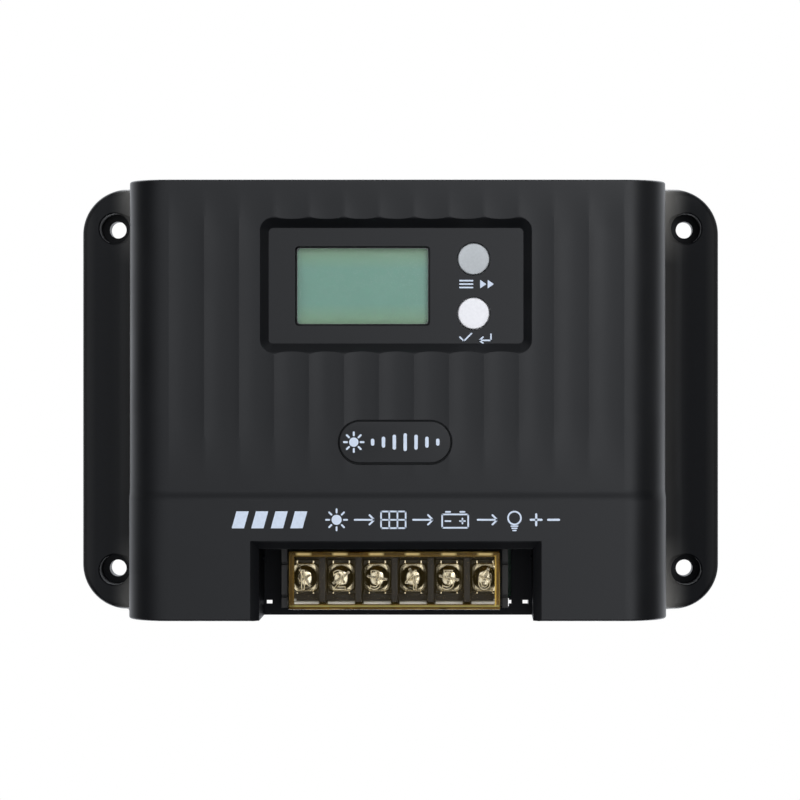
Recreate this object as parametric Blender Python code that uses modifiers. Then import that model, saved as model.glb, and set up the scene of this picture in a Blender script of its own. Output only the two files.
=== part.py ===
"""Solar charge controller: moulded housing, display, buttons, power board and screw terminals.

Frame, in metres: X to the right, Z up, and the front faces -Y. The origin is the centre of the
back mounting plane, so the wall is at y = 0 and the front face is at y = -0.055.
"""

import math

import bmesh
import bpy
from mathutils import Vector

# Housing
HALF_WIDTH = 0.0925
HALF_HEIGHT = 0.0611
DEPTH = 0.055
BODY_HALF_WIDTH = 0.0750
LABEL_EXTRA_HALF_WIDTH = 0.0003
FLANGE_THICKNESS = 0.013
FLANGE_CORNER_RADIUS = 0.0132
FLANGE_EDGE_ROUND = 0.003
FILLET_RADIUS = 0.0071
FILLET_END_DEG = 96
SHOULDER_RADIUS = 0.012
WALL = 0.0025
INNER_FRONT_Y = -0.0518
FLANGE_POCKET_HALF_HEIGHT = 0.056
FLANGE_POCKET_CORNER = 0.0058

# Flutes: concave channels with sharp ridges, fading out at both ends
FLUTES = 13
FLUTE_PITCH = 0.00967
FLUTE_DEPTH = 0.0008
FLUTE_FULL_TOP_Z = 0.045
FLUTE_FADE_START_Z = -0.003
FLUTE_END_Z = -0.0245
STEP_END_Z = -0.0280
STEP_DROP = 0.0008

# Mounting holes
MOUNT_X = 0.0831
MOUNT_Z = 0.0496
MOUNT_HOLE_RADIUS = 0.00245
COUNTERBORE_RADIUS = 0.0048
COUNTERBORE_FLOOR_Y = -0.005
MOUNT_BOSS_RADIUS = 0.0064

# Display recess and its opening
RECESS_X = -0.0002
RECESS_Z = 0.0318
RECESS_HALF = (0.0381, 0.0188)
RECESS_DEPTH = 0.0028
RECESS_CORNER = 0.004
RECESS_FLOOR_CORNER = 0.0013
PANEL_BACK_Y = -0.0498
PANEL_MARGIN = 0.0027
INSIDE_FRONT_WALL_Y = -0.0530
WINDOW_X = -0.0095
WINDOW_Z = 0.0317
WINDOW_HALF = (0.01865, 0.0110)
WINDOW_CORNER = 0.001

# Buttons and their switches
BUTTON_X = 0.0213
SELECT_Z = 0.0392
ENTER_Z = 0.0241
BUTTON_RADIUS = 0.0043
BUTTON_HOLE_RADIUS = 0.0046
SELECT_FRONT_Y = -0.0526
ENTER_FRONT_Y = -0.0532
BUTTON_RIM_Y = -0.0494
BUTTON_RIM_EXTRA_RADIUS = 0.0009
BUTTON_RIM_THICKNESS = 0.0009
BUTTON_EDGE = 0.0003
BUTTON_STEM_RADIUS = 0.0015
BUTTON_STEM_END_Y = -0.0472
PLUNGER_RADIUS = 0.0017
PLUNGER_BACK_Y = -0.0449
SWITCH_HALF = 0.003
SWITCH_FRONT_Y = -0.0462
SWITCH_WELL_Y = -0.0437

# Display stack
WINDOW_FRONT_Y = -0.0518
WINDOW_BACK_Y = -0.0503
LCD_BACK_Y = -0.0470
LCD_HALF = (0.0200, 0.0132)
DISPLAY_BOARD_FRONT_Y = -0.0427
DISPLAY_BOARD_BACK_Y = -0.0411
DISPLAY_BOARD_HALF = (0.0380, 0.0185)
DISPLAY_SCREW_X = 0.0345
DISPLAY_POST_RADIUS = 0.0028

# Badge
BADGE_X = -0.0004
BADGE_Z = -0.0115
BADGE_HALF = (0.0155, 0.0058)
BADGE_FRONT_Y = -0.0552
BADGE_BACK_Y = -0.0539

# Terminal bay
BAY_X = -0.0002
BAY_HALF_WIDTH = 0.0380
BAY_TOP_Z = -0.0412
BAY_CHAMFER = 0.0023
BAY_FLOOR_Y = -0.0320
BAY_FLOOR_BACK_Y = -0.0295
LATCH_SLOTS = (("left", -0.0376, -0.0359), ("right", 0.0352, 0.0369))
DRAIN_NOTCHES = (("left", -0.0398, -0.0352), ("right", 0.0308, 0.0372))

# Terminal block
BLOCK_X = -0.0009
POLES = 6
POLE_PITCH = 0.01016
SCREW_Z = -0.0502
BLOCK_BACK_Y = -0.0243
BLOCK_BASE_Y = -0.0335
BLOCK_TOP_Z = -0.0418
BLOCK_BOTTOM_Z = -0.0585
END_WALL_INNER = 0.0302
END_WALL_OUTER = 0.0319
END_WALL_FRONT_Y = -0.0400
BARRIER_HALF = 0.0009
BARRIER_FRONT_Y = -0.0420
BARRIER_TOP_Z = -0.0441
BRIDGE_TOP_Z = -0.0548
BRIDGE_BOTTOM_Z = -0.0568
BRIDGE_FRONT_Y = -0.0364
CLIP_GROOVE_ZS = (-0.0460, -0.0552)
PLATE_BACK_Y = -0.0338
PLATE_FRONT_Y = -0.0348
PLATE_HALF_WIDTH = 0.00385
PLATE_TOP_Z = -0.0455
PLATE_BOTTOM_Z = -0.0582
PLATE_LIP_FRONT_Y = -0.0352
WASHER_BACK_Y = -0.0351
WASHER_FRONT_Y = -0.0361
WASHER_HALF = (0.0039, 0.0041)
SHANK_RADIUS = 0.0019
SHANK_HOLE_RADIUS = 0.0022
SHANK_END_Y = -0.0285
SCREW_HEAD_RADIUS = 0.0034
SCREW_HEAD_HEIGHT = 0.0020
SCREW_SLOT_DEPTH = 0.0010
SCREW_SLOT_HALF_WIDTH = 0.00045
SCREW_CROSS_HALF_LENGTH = 0.0019
SCREW_SLOT_ANGLES = (-60, 35, -10, -70, -12, 70)

# Terminal cover
COVER_HALF_WIDTH = 0.0296
COVER_TOP_Z = -0.0424
COVER_BOTTOM_Z = -0.0587
COVER_FRONT_Y = -0.0442
COVER_BACK_Y = -0.0341
COVER_WALL = 0.0014
COVER_SIDE_CUT_Y = -0.0418
COVER_SIDE_CUT_HALF = 0.0048
WIRE_NOTCH_HALF_WIDTH = 0.0040
WIRE_NOTCH_FRONT_Y = -0.0416

# Heatsink and main board
SINK_HALF_WIDTH = 0.0721
SINK_TOP_Z = 0.0576
SINK_BOTTOM_Z = -0.0540
SINK_FRONT_Y = -0.0120
SINK_PLATE_BACK_Y = -0.0080
FIN_BACK_Y = -0.0005
FIN_PITCH = 0.0096
FIN_THICKNESS = 0.0018
FINS_PER_SIDE = 7
CENTRE_RIB_THICKNESS = 0.0060
BOARD_HALF_WIDTH = 0.0600
BOARD_TOP_Z = 0.0540
BOARD_BOTTOM_Z = -0.0570
BOARD_FRONT_Y = -0.0240
BOARD_BACK_Y = -0.0224
STANDOFF_RADIUS = 0.0034
BOARD_SCREW_PLACES = ((-0.054, 0.048), (0.054, 0.048), (-0.054, -0.044), (0.054, -0.044))
HOUSING_SCREW_PLACES = ((-0.066, 0.052), (0.066, 0.052), (-0.066, -0.050), (0.066, -0.050))
HEAD_WELL_RADIUS = 0.0045
HEAD_WELL_Y = -0.0068
COLUMN_RADIUS = 0.004

# Power parts
MOSFET_XS = (-0.0270, -0.0120, 0.0120, 0.0270)
MOSFET_Z = -0.002
CLAMP_BAR_FRONT_Y = -0.0196
INDUCTOR_CENTRE = (-0.036, -0.0335, -0.013)
WINDING_TURNS = 13
CAPACITOR_RADIUS = 0.0080
CAPACITOR_HEIGHT = 0.0250
CAPACITOR_PLACES = (
    ("input_capacitor_1", 0.004, -0.018),
    ("input_capacitor_2", 0.022, -0.018),
    ("output_capacitor", 0.040, -0.018),
)

# Clearance between neighbours, how far a cutter reaches past a face, and the ways along Y
GAP = 0.0003
PAST = 0.001
FRONT = -1
BACK = 1

PARTS = "solar_charge_controller"
CUTTERS = "cutters"


def clear_scene():
    for old in list(bpy.data.objects):
        bpy.data.objects.remove(old, do_unlink=True)


def new_collection(name):
    collection = bpy.data.collections.new(name)
    bpy.context.scene.collection.children.link(collection)
    return collection


def add_part(made):
    bpy.data.collections[PARTS].objects.link(made)


def make_material(name, colour, roughness, metallic=0.0, alpha=1.0):
    material = bpy.data.materials.new(name)
    material.use_nodes = True
    shader = material.node_tree.nodes["Principled BSDF"]
    shader.inputs["Base Color"].default_value = (*colour, 1.0)
    shader.inputs["Roughness"].default_value = roughness
    shader.inputs["Metallic"].default_value = metallic
    shader.inputs["Alpha"].default_value = alpha
    return material


def mesh_object(name, mesh_builder, location=(0.0, 0.0, 0.0)):
    """A new object in the parts collection, with its normals facing out."""
    bmesh.ops.recalc_face_normals(mesh_builder, faces=mesh_builder.faces)
    mesh = bpy.data.meshes.new(name)
    mesh_builder.to_mesh(mesh)
    mesh_builder.free()
    made = bpy.data.objects.new(name, mesh)
    made.location = location
    add_part(made)
    return made


def as_helper(made):
    """Turns a part into a hidden cutter or joining piece."""
    bpy.data.collections[PARTS].objects.unlink(made)
    bpy.data.collections[CUTTERS].objects.link(made)
    made.hide_render = True
    made.display_type = "WIRE"
    return made


def box(name, low, high, corner=0.0, axis="Y", segments=3):
    """A box between two corners; its four edges along axis may be rounded."""
    low = Vector(low)
    high = Vector(high)
    centre = (low + high) / 2
    size = high - low
    shape = bmesh.new()
    bmesh.ops.create_cube(shape, size=1.0)
    bmesh.ops.scale(shape, vec=size, verts=shape.verts)
    if corner:
        along = "XYZ".index(axis)
        edges = [e for e in shape.edges if abs((e.verts[0].co - e.verts[1].co)[along]) > 1e-6]
        bmesh.ops.bevel(
            shape, geom=edges, offset=corner, segments=segments, profile=0.5, affect="EDGES"
        )
    return mesh_object(name, shape, centre)


def rod(name, x, z, front_y, back_y, radius, segments=24):
    """A cylinder along Y."""
    shape = bmesh.new()
    bmesh.ops.create_cone(
        shape,
        cap_ends=True,
        segments=segments,
        radius1=radius,
        radius2=radius,
        depth=back_y - front_y,
    )
    made = mesh_object(name, shape, (x, (front_y + back_y) / 2, z))
    made.rotation_euler = (math.pi / 2, 0.0, 0.0)
    return made


def turned(name, profile, x, base_y, z, steps=24):
    """A turned piece on an axis along -Y: profile is (radius, height towards the front)."""
    shape = bmesh.new()
    points = [shape.verts.new((radius, 0.0, height)) for radius, height in profile]
    for first, second in zip(points, points[1:]):
        shape.edges.new((first, second))
    mesh = bpy.data.meshes.new(name)
    shape.to_mesh(mesh)
    shape.free()
    made = bpy.data.objects.new(name, mesh)
    add_part(made)
    made.location = (x, base_y, z)
    made.rotation_euler = (math.pi / 2, 0.0, 0.0)
    screw = made.modifiers.new("Turn", "SCREW")
    screw.steps = steps
    screw.render_steps = steps
    screw.use_merge_vertices = True
    screw.merge_threshold = 0.00001
    return made


def loft(name, sections):
    """A closed solid through loops of points that all have the same count."""
    shape = bmesh.new()
    rings = [[shape.verts.new(point) for point in section] for section in sections]
    count = len(rings[0])
    for near, far in zip(rings, rings[1:]):
        for i in range(count):
            j = (i + 1) % count
            shape.faces.new((near[i], near[j], far[j], far[i]))
    shape.faces.new(rings[0][::-1])
    shape.faces.new(rings[-1])
    # The side faces are twisted where the flutes fade, so they are split into flat triangles.
    bmesh.ops.triangulate(shape, faces=shape.faces)
    return mesh_object(name, shape)


def combine(target, other, operation):
    modifier = target.modifiers.new(other.name, "BOOLEAN")
    modifier.operation = operation
    modifier.solver = "EXACT"
    modifier.object = as_helper(other)


def cut(target, other):
    combine(target, other, "DIFFERENCE")


def join(target, other):
    combine(target, other, "UNION")


def freeze(made):
    """Replaces the object's mesh with its evaluated one, so that copies can share it."""
    bpy.context.view_layer.update()
    graph = bpy.context.evaluated_depsgraph_get()
    made.data = bpy.data.meshes.new_from_object(made.evaluated_get(graph))
    made.modifiers.clear()


def copy_of(made, name, x, z):
    """A copy that shares the first one's mesh, moved to x and z."""
    twin = made.copy()
    twin.name = name
    twin.location.x = x
    twin.location.z = z
    add_part(twin)
    return twin


def finish_part(made, material):
    made.data.materials.clear()
    made.data.materials.append(material)
    made.data.shade_smooth()
    made.data.set_sharp_from_angle(angle=math.radians(30))


def arc(centre_x, centre_y, radius, start_deg, end_deg, steps):
    angles = [start_deg + (end_deg - start_deg) * i / steps for i in range(steps + 1)]
    return [
        (
            centre_x + radius * math.cos(math.radians(a)),
            centre_y + radius * math.sin(math.radians(a)),
        )
        for a in angles
    ]


def rounded_rectangle(x, z, half_x, half_z, corner, y, steps=4):
    """Loop of points in the plane y, counter-clockwise seen from the front."""
    points = []
    for sign_x, sign_z, start in ((1, 1, 0), (-1, 1, 90), (-1, -1, 180), (1, -1, 270)):
        centre_x = x + sign_x * (half_x - corner)
        centre_z = z + sign_z * (half_z - corner)
        corner_points = arc(centre_x, centre_z, corner, start, start + 90, steps)
        points.extend((px, y, pz) for px, pz in corner_points)
    return points


def smooth_step(value):
    t = min(1.0, max(0.0, value))
    return t * t * (3 - 2 * t)


def flute_strength(z):
    """1 along the middle of the flutes, falling to 0 at the top edge and above the step."""
    if z > FLUTE_FULL_TOP_Z:
        return smooth_step((HALF_HEIGHT - z) / (HALF_HEIGHT - FLUTE_FULL_TOP_Z))
    return smooth_step((z - FLUTE_END_Z) / (FLUTE_FADE_START_Z - FLUTE_END_Z))


def step_strength(z):
    """0 on the fluted front, 1 on the label strip below the step."""
    return smooth_step((FLUTE_END_Z - z) / (FLUTE_END_Z - STEP_END_Z))


def body_section(z):
    """The body's outline at height z: fillet, side wall, shoulder, fluted front, and back."""
    half_width = BODY_HALF_WIDTH + LABEL_EXTRA_HALF_WIDTH * step_strength(z)
    front_y = -DEPTH + STEP_DROP * step_strength(z)
    flute_depth = FLUTE_DEPTH * flute_strength(z)
    samples = 4
    front = []
    for flute in range(FLUTES):
        ridge_x = (flute - FLUTES / 2) * FLUTE_PITCH
        for i in range(samples):
            across = i / samples
            hollow = 1 - (2 * across - 1) ** 2
            front.append((ridge_x + across * FLUTE_PITCH, front_y + flute_depth * hollow))
    front.append((FLUTES / 2 * FLUTE_PITCH, front_y))
    shoulder = arc(
        half_width - SHOULDER_RADIUS, front_y + SHOULDER_RADIUS, SHOULDER_RADIUS, 270, 360, 6
    )
    fillet = arc(
        half_width + FILLET_RADIUS, -FLANGE_THICKNESS - FILLET_RADIUS + 0.0001,
        FILLET_RADIUS, 180, FILLET_END_DEG, 5,
    )
    inside_flange_y = -FLANGE_THICKNESS / 2
    right = shoulder + fillet + [(half_width + FILLET_RADIUS, inside_flange_y)]
    left = [(-x, y) for x, y in reversed(right)]
    return [(x, y, z) for x, y in left + front + right]


def housing_body():
    fading_top = [HALF_HEIGHT - i * (HALF_HEIGHT - FLUTE_FULL_TOP_Z) / 4 for i in range(5)]
    fading_bottom = [
        FLUTE_FADE_START_Z + i * (FLUTE_END_Z - FLUTE_FADE_START_Z) / 5 for i in range(6)
    ]
    step = [(FLUTE_END_Z + STEP_END_Z) / 2, STEP_END_Z, -HALF_HEIGHT]
    return loft("front_housing", [body_section(z) for z in fading_top + fading_bottom + step])


def bevel_edges(made, edge_test, offset, segments):
    """Rounds the edges of the object's own mesh for which edge_test is true."""
    shape = bmesh.new()
    shape.from_mesh(made.data)
    chosen = [e for e in shape.edges if edge_test(e)]
    bmesh.ops.bevel(
        shape, geom=chosen, offset=offset, segments=segments, profile=0.5, affect="EDGES"
    )
    shape.to_mesh(made.data)
    shape.free()


def box_beside(name, side, near, far, front_y, back_y, low_z, high_z, corner=0.0):
    """A box between two distances from the middle, on the left (side -1) or the right (1)."""
    low_x, high_x = sorted((side * near, side * far))
    return box(name, (low_x, front_y, low_z), (high_x, back_y, high_z), corner)


def flange_plate():
    """The flange, which runs behind the whole body, with its front edge rounded."""
    plate = box(
        "flange",
        (-HALF_WIDTH, -FLANGE_THICKNESS, -HALF_HEIGHT),
        (HALF_WIDTH, 0.0, HALF_HEIGHT),
        corner=FLANGE_CORNER_RADIUS,
        segments=6,
    )
    bevel_edges(plate, lambda e: all(v.co.y < 0 for v in e.verts), FLANGE_EDGE_ROUND, 3)
    return plate


def hollow_housing(housing):
    cavity = box(
        "cavity",
        (-BODY_HALF_WIDTH + WALL, INNER_FRONT_Y, -HALF_HEIGHT + WALL),
        (BODY_HALF_WIDTH - WALL, PAST, HALF_HEIGHT - WALL),
    )

    def upright_and_in_front(edge):
        first, second = (v.co for v in edge.verts)
        return first.y < 0 and second.y < 0 and abs(first.z - second.z) > WALL

    bevel_edges(cavity, upright_and_in_front, SHOULDER_RADIUS - WALL, 3)
    cut(housing, cavity)
    for side in (-1, 1):
        pocket = box_beside(
            f"flange_pocket_{side}", side, BODY_HALF_WIDTH + WALL, HALF_WIDTH - WALL,
            -FLANGE_THICKNESS + WALL, PAST,
            -FLANGE_POCKET_HALF_HEIGHT, FLANGE_POCKET_HALF_HEIGHT, FLANGE_POCKET_CORNER,
        )
        cut(housing, pocket)


def add_mounting_holes(housing):
    """Four bosses through the hollow flanges, each with a hole and a counterbore."""
    places = [
        (f"{side}_{end}", side * MOUNT_X, end * MOUNT_Z) for side in (-1, 1) for end in (-1, 1)
    ]
    for tag, x, z in places:
        boss = rod(f"mount_boss_{tag}", x, z, -FLANGE_THICKNESS + PAST, 0.0, MOUNT_BOSS_RADIUS)
        join(housing, boss)
    in_front = -FLANGE_THICKNESS - FILLET_RADIUS - SHOULDER_RADIUS
    for tag, x, z in places:
        cut(housing, rod(f"mount_hole_{tag}", x, z, in_front, PAST, MOUNT_HOLE_RADIUS, 20))
        counterbore = rod(
            f"counterbore_{tag}", x, z, in_front, COUNTERBORE_FLOOR_Y, COUNTERBORE_RADIUS
        )
        cut(housing, counterbore)


def add_inner_features(housing):
    """Backing of the display panel, the walls of the terminal bay, and the screw columns."""
    backing_half_x = RECESS_HALF[0] + PANEL_MARGIN
    backing_half_z = RECESS_HALF[1] + PANEL_MARGIN
    backing = box(
        "panel_backing",
        (RECESS_X - backing_half_x, INSIDE_FRONT_WALL_Y, RECESS_Z - backing_half_z),
        (RECESS_X + backing_half_x, PANEL_BACK_Y, RECESS_Z + backing_half_z),
    )
    join(housing, backing)
    bay_shell = box(
        "bay_shell",
        (BAY_X - BAY_HALF_WIDTH - WALL, INSIDE_FRONT_WALL_Y, -HALF_HEIGHT + PAST),
        (BAY_X + BAY_HALF_WIDTH + WALL, BAY_FLOOR_BACK_Y, BAY_TOP_Z + WALL),
    )
    join(housing, bay_shell)
    column_hole_front_y = -0.026
    for number, (x, z) in enumerate(HOUSING_SCREW_PLACES, 1):
        column = rod(
            f"column_{number}", x, z, INNER_FRONT_Y - GAP, SINK_FRONT_Y - GAP, COLUMN_RADIUS, 16
        )
        join(housing, column)
        cut(housing, rod(f"column_hole_{number}", x, z, column_hole_front_y, -0.010, 0.0016, 12))
    post_hole_front_y = -0.0475
    for side in (-1, 1):
        x = RECESS_X + side * DISPLAY_SCREW_X
        post = rod(
            f"display_post_{side}", x, WINDOW_Z, PANEL_BACK_Y - PAST,
            DISPLAY_BOARD_FRONT_Y - GAP, DISPLAY_POST_RADIUS, 14,
        )
        join(housing, post)
        cut(housing, rod(f"post_hole_{side}", x, WINDOW_Z, post_hole_front_y, -0.042, 0.0012, 10))


def recess_outline(offset, corner, y):
    half_x = RECESS_HALF[0] + offset
    half_z = RECESS_HALF[1] + offset
    return rounded_rectangle(RECESS_X, RECESS_Z, half_x, half_z, corner, y)


def cut_front_openings(housing):
    """The display recess with its 45 degree walls, the window, button holes and badge pocket."""
    beyond = 0.002
    front = recess_outline(beyond, RECESS_CORNER + beyond, -DEPTH - beyond)
    floor = recess_outline(-RECESS_DEPTH, RECESS_FLOOR_CORNER, -DEPTH + RECESS_DEPTH)
    cut(housing, loft("display_recess", [front, floor]))
    in_front_y = INSIDE_FRONT_WALL_Y - PAST
    behind_y = PANEL_BACK_Y + 2 * PAST
    window = box(
        "window_opening",
        (WINDOW_X - WINDOW_HALF[0], in_front_y, WINDOW_Z - WINDOW_HALF[1]),
        (WINDOW_X + WINDOW_HALF[0], behind_y, WINDOW_Z + WINDOW_HALF[1]),
        corner=WINDOW_CORNER,
        segments=2,
    )
    cut(housing, window)
    for name, z in (("select", SELECT_Z), ("enter", ENTER_Z)):
        hole = rod(f"{name}_hole", BUTTON_X, z, in_front_y, behind_y, BUTTON_HOLE_RADIUS, 32)
        cut(housing, hole)
    cut(housing, stadium("badge_pocket", -DEPTH - 2 * PAST, BADGE_BACK_Y + GAP, GAP))


def stadium(name, front_y, back_y, margin):
    """The badge's outline, a rectangle with half-round ends, widened by margin."""
    almost = 0.00002
    return box(
        name,
        (BADGE_X - BADGE_HALF[0] - margin, front_y, BADGE_Z - BADGE_HALF[1] - margin),
        (BADGE_X + BADGE_HALF[0] + margin, back_y, BADGE_Z + BADGE_HALF[1] + margin),
        corner=BADGE_HALF[1] + margin - almost,
        segments=8,
    )


def bay_section(y, widening):
    """The bay's outline in the plane y; it runs out through the bottom of the housing."""
    left = BAY_X - BAY_HALF_WIDTH - widening
    right = BAY_X + BAY_HALF_WIDTH + widening
    top_z = BAY_TOP_Z + widening
    below_z = -HALF_HEIGHT - SHOULDER_RADIUS
    return [(left, y, below_z), (right, y, below_z), (right, y, top_z), (left, y, top_z)]


def cut_terminal_bay(housing):
    label_front_y = -DEPTH + STEP_DROP
    beyond = 0.002
    bay = loft(
        "terminal_bay",
        [
            bay_section(label_front_y - beyond, BAY_CHAMFER + beyond),
            bay_section(label_front_y + BAY_CHAMFER, 0.0),
            bay_section(BAY_FLOOR_Y, 0.0),
        ],
    )
    cut(housing, bay)
    in_front_of_floor = BAY_FLOOR_Y - 2 * PAST
    block_opening = box(
        "block_opening",
        (BLOCK_X - END_WALL_OUTER - GAP, in_front_of_floor, BLOCK_BOTTOM_Z - GAP),
        (BLOCK_X + END_WALL_OUTER + 0.0010, BLOCK_BACK_Y + GAP, BLOCK_TOP_Z + GAP),
    )
    cut(housing, block_opening)
    behind_floor = BAY_FLOOR_BACK_Y + PAST
    for name, low_x, high_x in LATCH_SLOTS:
        low = (low_x, in_front_of_floor, BLOCK_BOTTOM_Z + GAP)
        high = (high_x, behind_floor, BRIDGE_BOTTOM_Z)
        cut(housing, box(f"{name}_latch_slot", low, high))
    for name, low_x, high_x in DRAIN_NOTCHES:
        low = (low_x, BAY_FLOOR_BACK_Y - PAST / 2, -HALF_HEIGHT - PAST)
        high = (high_x, PAST, BRIDGE_BOTTOM_Z + GAP)
        cut(housing, box(f"{name}_drain_notch", low, high))
    stud_half = 0.0008
    stud_y = -0.0364
    stud_z = -0.0447
    for side in (-1, 1):
        wall_x = BAY_X + side * BAY_HALF_WIDTH
        low = (wall_x - PAST / 2, stud_y - stud_half, stud_z - stud_half)
        high = (wall_x + PAST / 2, stud_y + stud_half, stud_z + stud_half)
        join(housing, box(f"bay_stud_{side}", low, high))


def cut_air_slots(housing):
    """Openings in the back edge of the top and bottom walls, in line with the fins."""
    near = 0.004
    for tag, end, far in (("top", 1, 0.068), ("bottom", -1, 0.027)):
        low_z, high_z = sorted((end * (HALF_HEIGHT + PAST), end * (HALF_HEIGHT - WALL - PAST)))
        for side in (-1, 1):
            slot = box_beside(
                f"{tag}_air_slot_{side}", side, near, far, SINK_PLATE_BACK_Y, PAST, low_z, high_z
            )
            cut(housing, slot)


def make_housing():
    housing = housing_body()
    join(housing, flange_plate())
    hollow_housing(housing)
    add_mounting_holes(housing)
    add_inner_features(housing)
    cut_front_openings(housing)
    cut_terminal_bay(housing)
    cut_air_slots(housing)
    finish_part(housing, make_material("housing_black", (0.03, 0.031, 0.034), 0.42))


def make_badge(material):
    finish_part(stadium("badge_plaque", BADGE_FRONT_Y, BADGE_BACK_Y, 0.0), material)


def make_display():
    clear = make_material("window_clear", (0.8, 0.9, 0.85), 0.05, alpha=0.35)
    window = box(
        "lcd_window",
        (WINDOW_X - WINDOW_HALF[0] + GAP, WINDOW_FRONT_Y, WINDOW_Z - WINDOW_HALF[1] + GAP),
        (WINDOW_X + WINDOW_HALF[0] - GAP, WINDOW_BACK_Y, WINDOW_Z + WINDOW_HALF[1] - GAP),
        corner=WINDOW_CORNER - GAP,
        segments=2,
    )
    finish_part(window, clear)
    lcd = box(
        "lcd_panel",
        (WINDOW_X - LCD_HALF[0], PANEL_BACK_Y + GAP, WINDOW_Z - LCD_HALF[1]),
        (WINDOW_X + LCD_HALF[0], LCD_BACK_Y, WINDOW_Z + LCD_HALF[1]),
    )
    finish_part(lcd, make_material("lcd_green", (0.16, 0.36, 0.27), 0.25))
    backlight_half_z = LCD_HALF[1] - 0.0007
    backlight = box(
        "lcd_backlight",
        (WINDOW_X - LCD_HALF[0], LCD_BACK_Y + GAP, WINDOW_Z - backlight_half_z),
        (WINDOW_X + LCD_HALF[0], DISPLAY_BOARD_FRONT_Y - GAP, WINDOW_Z + backlight_half_z),
        corner=0.001,
        segments=1,
    )
    finish_part(backlight, make_material("backlight_white", (0.8, 0.8, 0.78), 0.4))


def small_screw(name, x, z, seat_y, way, head_radius, shank_radius, shank_length):
    """A pan-head screw along Y: its head is on the FRONT or BACK side of the seat."""
    head_height = head_radius * 0.75
    tip = shank_radius * 0.6
    profile = [
        (0.0, shank_length),
        (tip, shank_length),
        (shank_radius, shank_length - tip),
        (shank_radius, 0.0),
        (head_radius, 0.0),
        (head_radius, -head_height * 0.6),
        (head_radius * 0.6, -head_height),
        (0.0, -head_height),
    ]
    screw = turned(name, profile, x, seat_y, z, steps=10)
    screw.rotation_euler.x = way * math.pi / 2
    head_top_y = seat_y + way * head_height
    slot_depth = head_radius * 0.35
    front_y, back_y = sorted((head_top_y - way * slot_depth, head_top_y + way * PAST))
    half_length = head_radius * 1.1
    half_width = head_radius * 0.16
    slot = box(
        f"{name}_slot",
        (x - half_length, front_y, z - half_width),
        (x + half_length, back_y, z + half_width),
    )
    cut(screw, slot)
    return screw


def make_display_board(board_material, steel):
    board = box(
        "display_board",
        (RECESS_X - DISPLAY_BOARD_HALF[0], DISPLAY_BOARD_FRONT_Y, RECESS_Z - DISPLAY_BOARD_HALF[1]),
        (RECESS_X + DISPLAY_BOARD_HALF[0], DISPLAY_BOARD_BACK_Y, RECESS_Z + DISPLAY_BOARD_HALF[1]),
    )
    seat_y = DISPLAY_BOARD_BACK_Y + GAP
    for number, side in enumerate((-1, 1), 1):
        x = RECESS_X + side * DISPLAY_SCREW_X
        hole = rod(
            f"display_board_hole_{number}", x, WINDOW_Z,
            DISPLAY_BOARD_FRONT_Y - PAST, DISPLAY_BOARD_BACK_Y + PAST, 0.0014, 12,
        )
        cut(board, hole)
        name = f"display_screw_{number}"
        finish_part(small_screw(name, x, WINDOW_Z, seat_y, BACK, 0.0020, 0.0009, 0.0055), steel)
    finish_part(board, board_material)


def make_button(name, z, front_y, material):
    """A cap with a rim behind the panel and a stem that pushes on the switch."""
    rim_height = BUTTON_STEM_END_Y - BUTTON_RIM_Y
    rim_back = rim_height - BUTTON_RIM_THICKNESS
    rim_radius = BUTTON_RADIUS + BUTTON_RIM_EXTRA_RADIUS
    cap_height = BUTTON_STEM_END_Y - front_y
    profile = [
        (0.0, cap_height),
        (BUTTON_RADIUS - BUTTON_EDGE, cap_height),
        (BUTTON_RADIUS, cap_height - BUTTON_EDGE),
        (BUTTON_RADIUS, rim_height),
        (rim_radius, rim_height),
        (rim_radius, rim_back),
        (BUTTON_STEM_RADIUS, rim_back),
        (BUTTON_STEM_RADIUS, 0.0),
        (0.0, 0.0),
    ]
    finish_part(turned(name, profile, BUTTON_X, BUTTON_STEM_END_Y, z, steps=24), material)


def make_switch(name, z, shell, actuator):
    base = box(
        f"{name}_switch",
        (BUTTON_X - SWITCH_HALF, SWITCH_FRONT_Y, z - SWITCH_HALF),
        (BUTTON_X + SWITCH_HALF, DISPLAY_BOARD_FRONT_Y - GAP, z + SWITCH_HALF),
    )
    well = rod(
        f"{name}_switch_well", BUTTON_X, z, SWITCH_FRONT_Y - PAST, SWITCH_WELL_Y,
        PLUNGER_RADIUS + GAP, 16,
    )
    cut(base, well)
    finish_part(base, shell)
    plunger = rod(
        f"{name}_plunger", BUTTON_X, z, BUTTON_STEM_END_Y + GAP, PLUNGER_BACK_Y, PLUNGER_RADIUS, 16
    )
    finish_part(plunger, actuator)


def pole_x(pole):
    """X of a pole's screw, counting from 0 on the left."""
    return BLOCK_X + (pole - (POLES - 1) / 2) * POLE_PITCH


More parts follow.
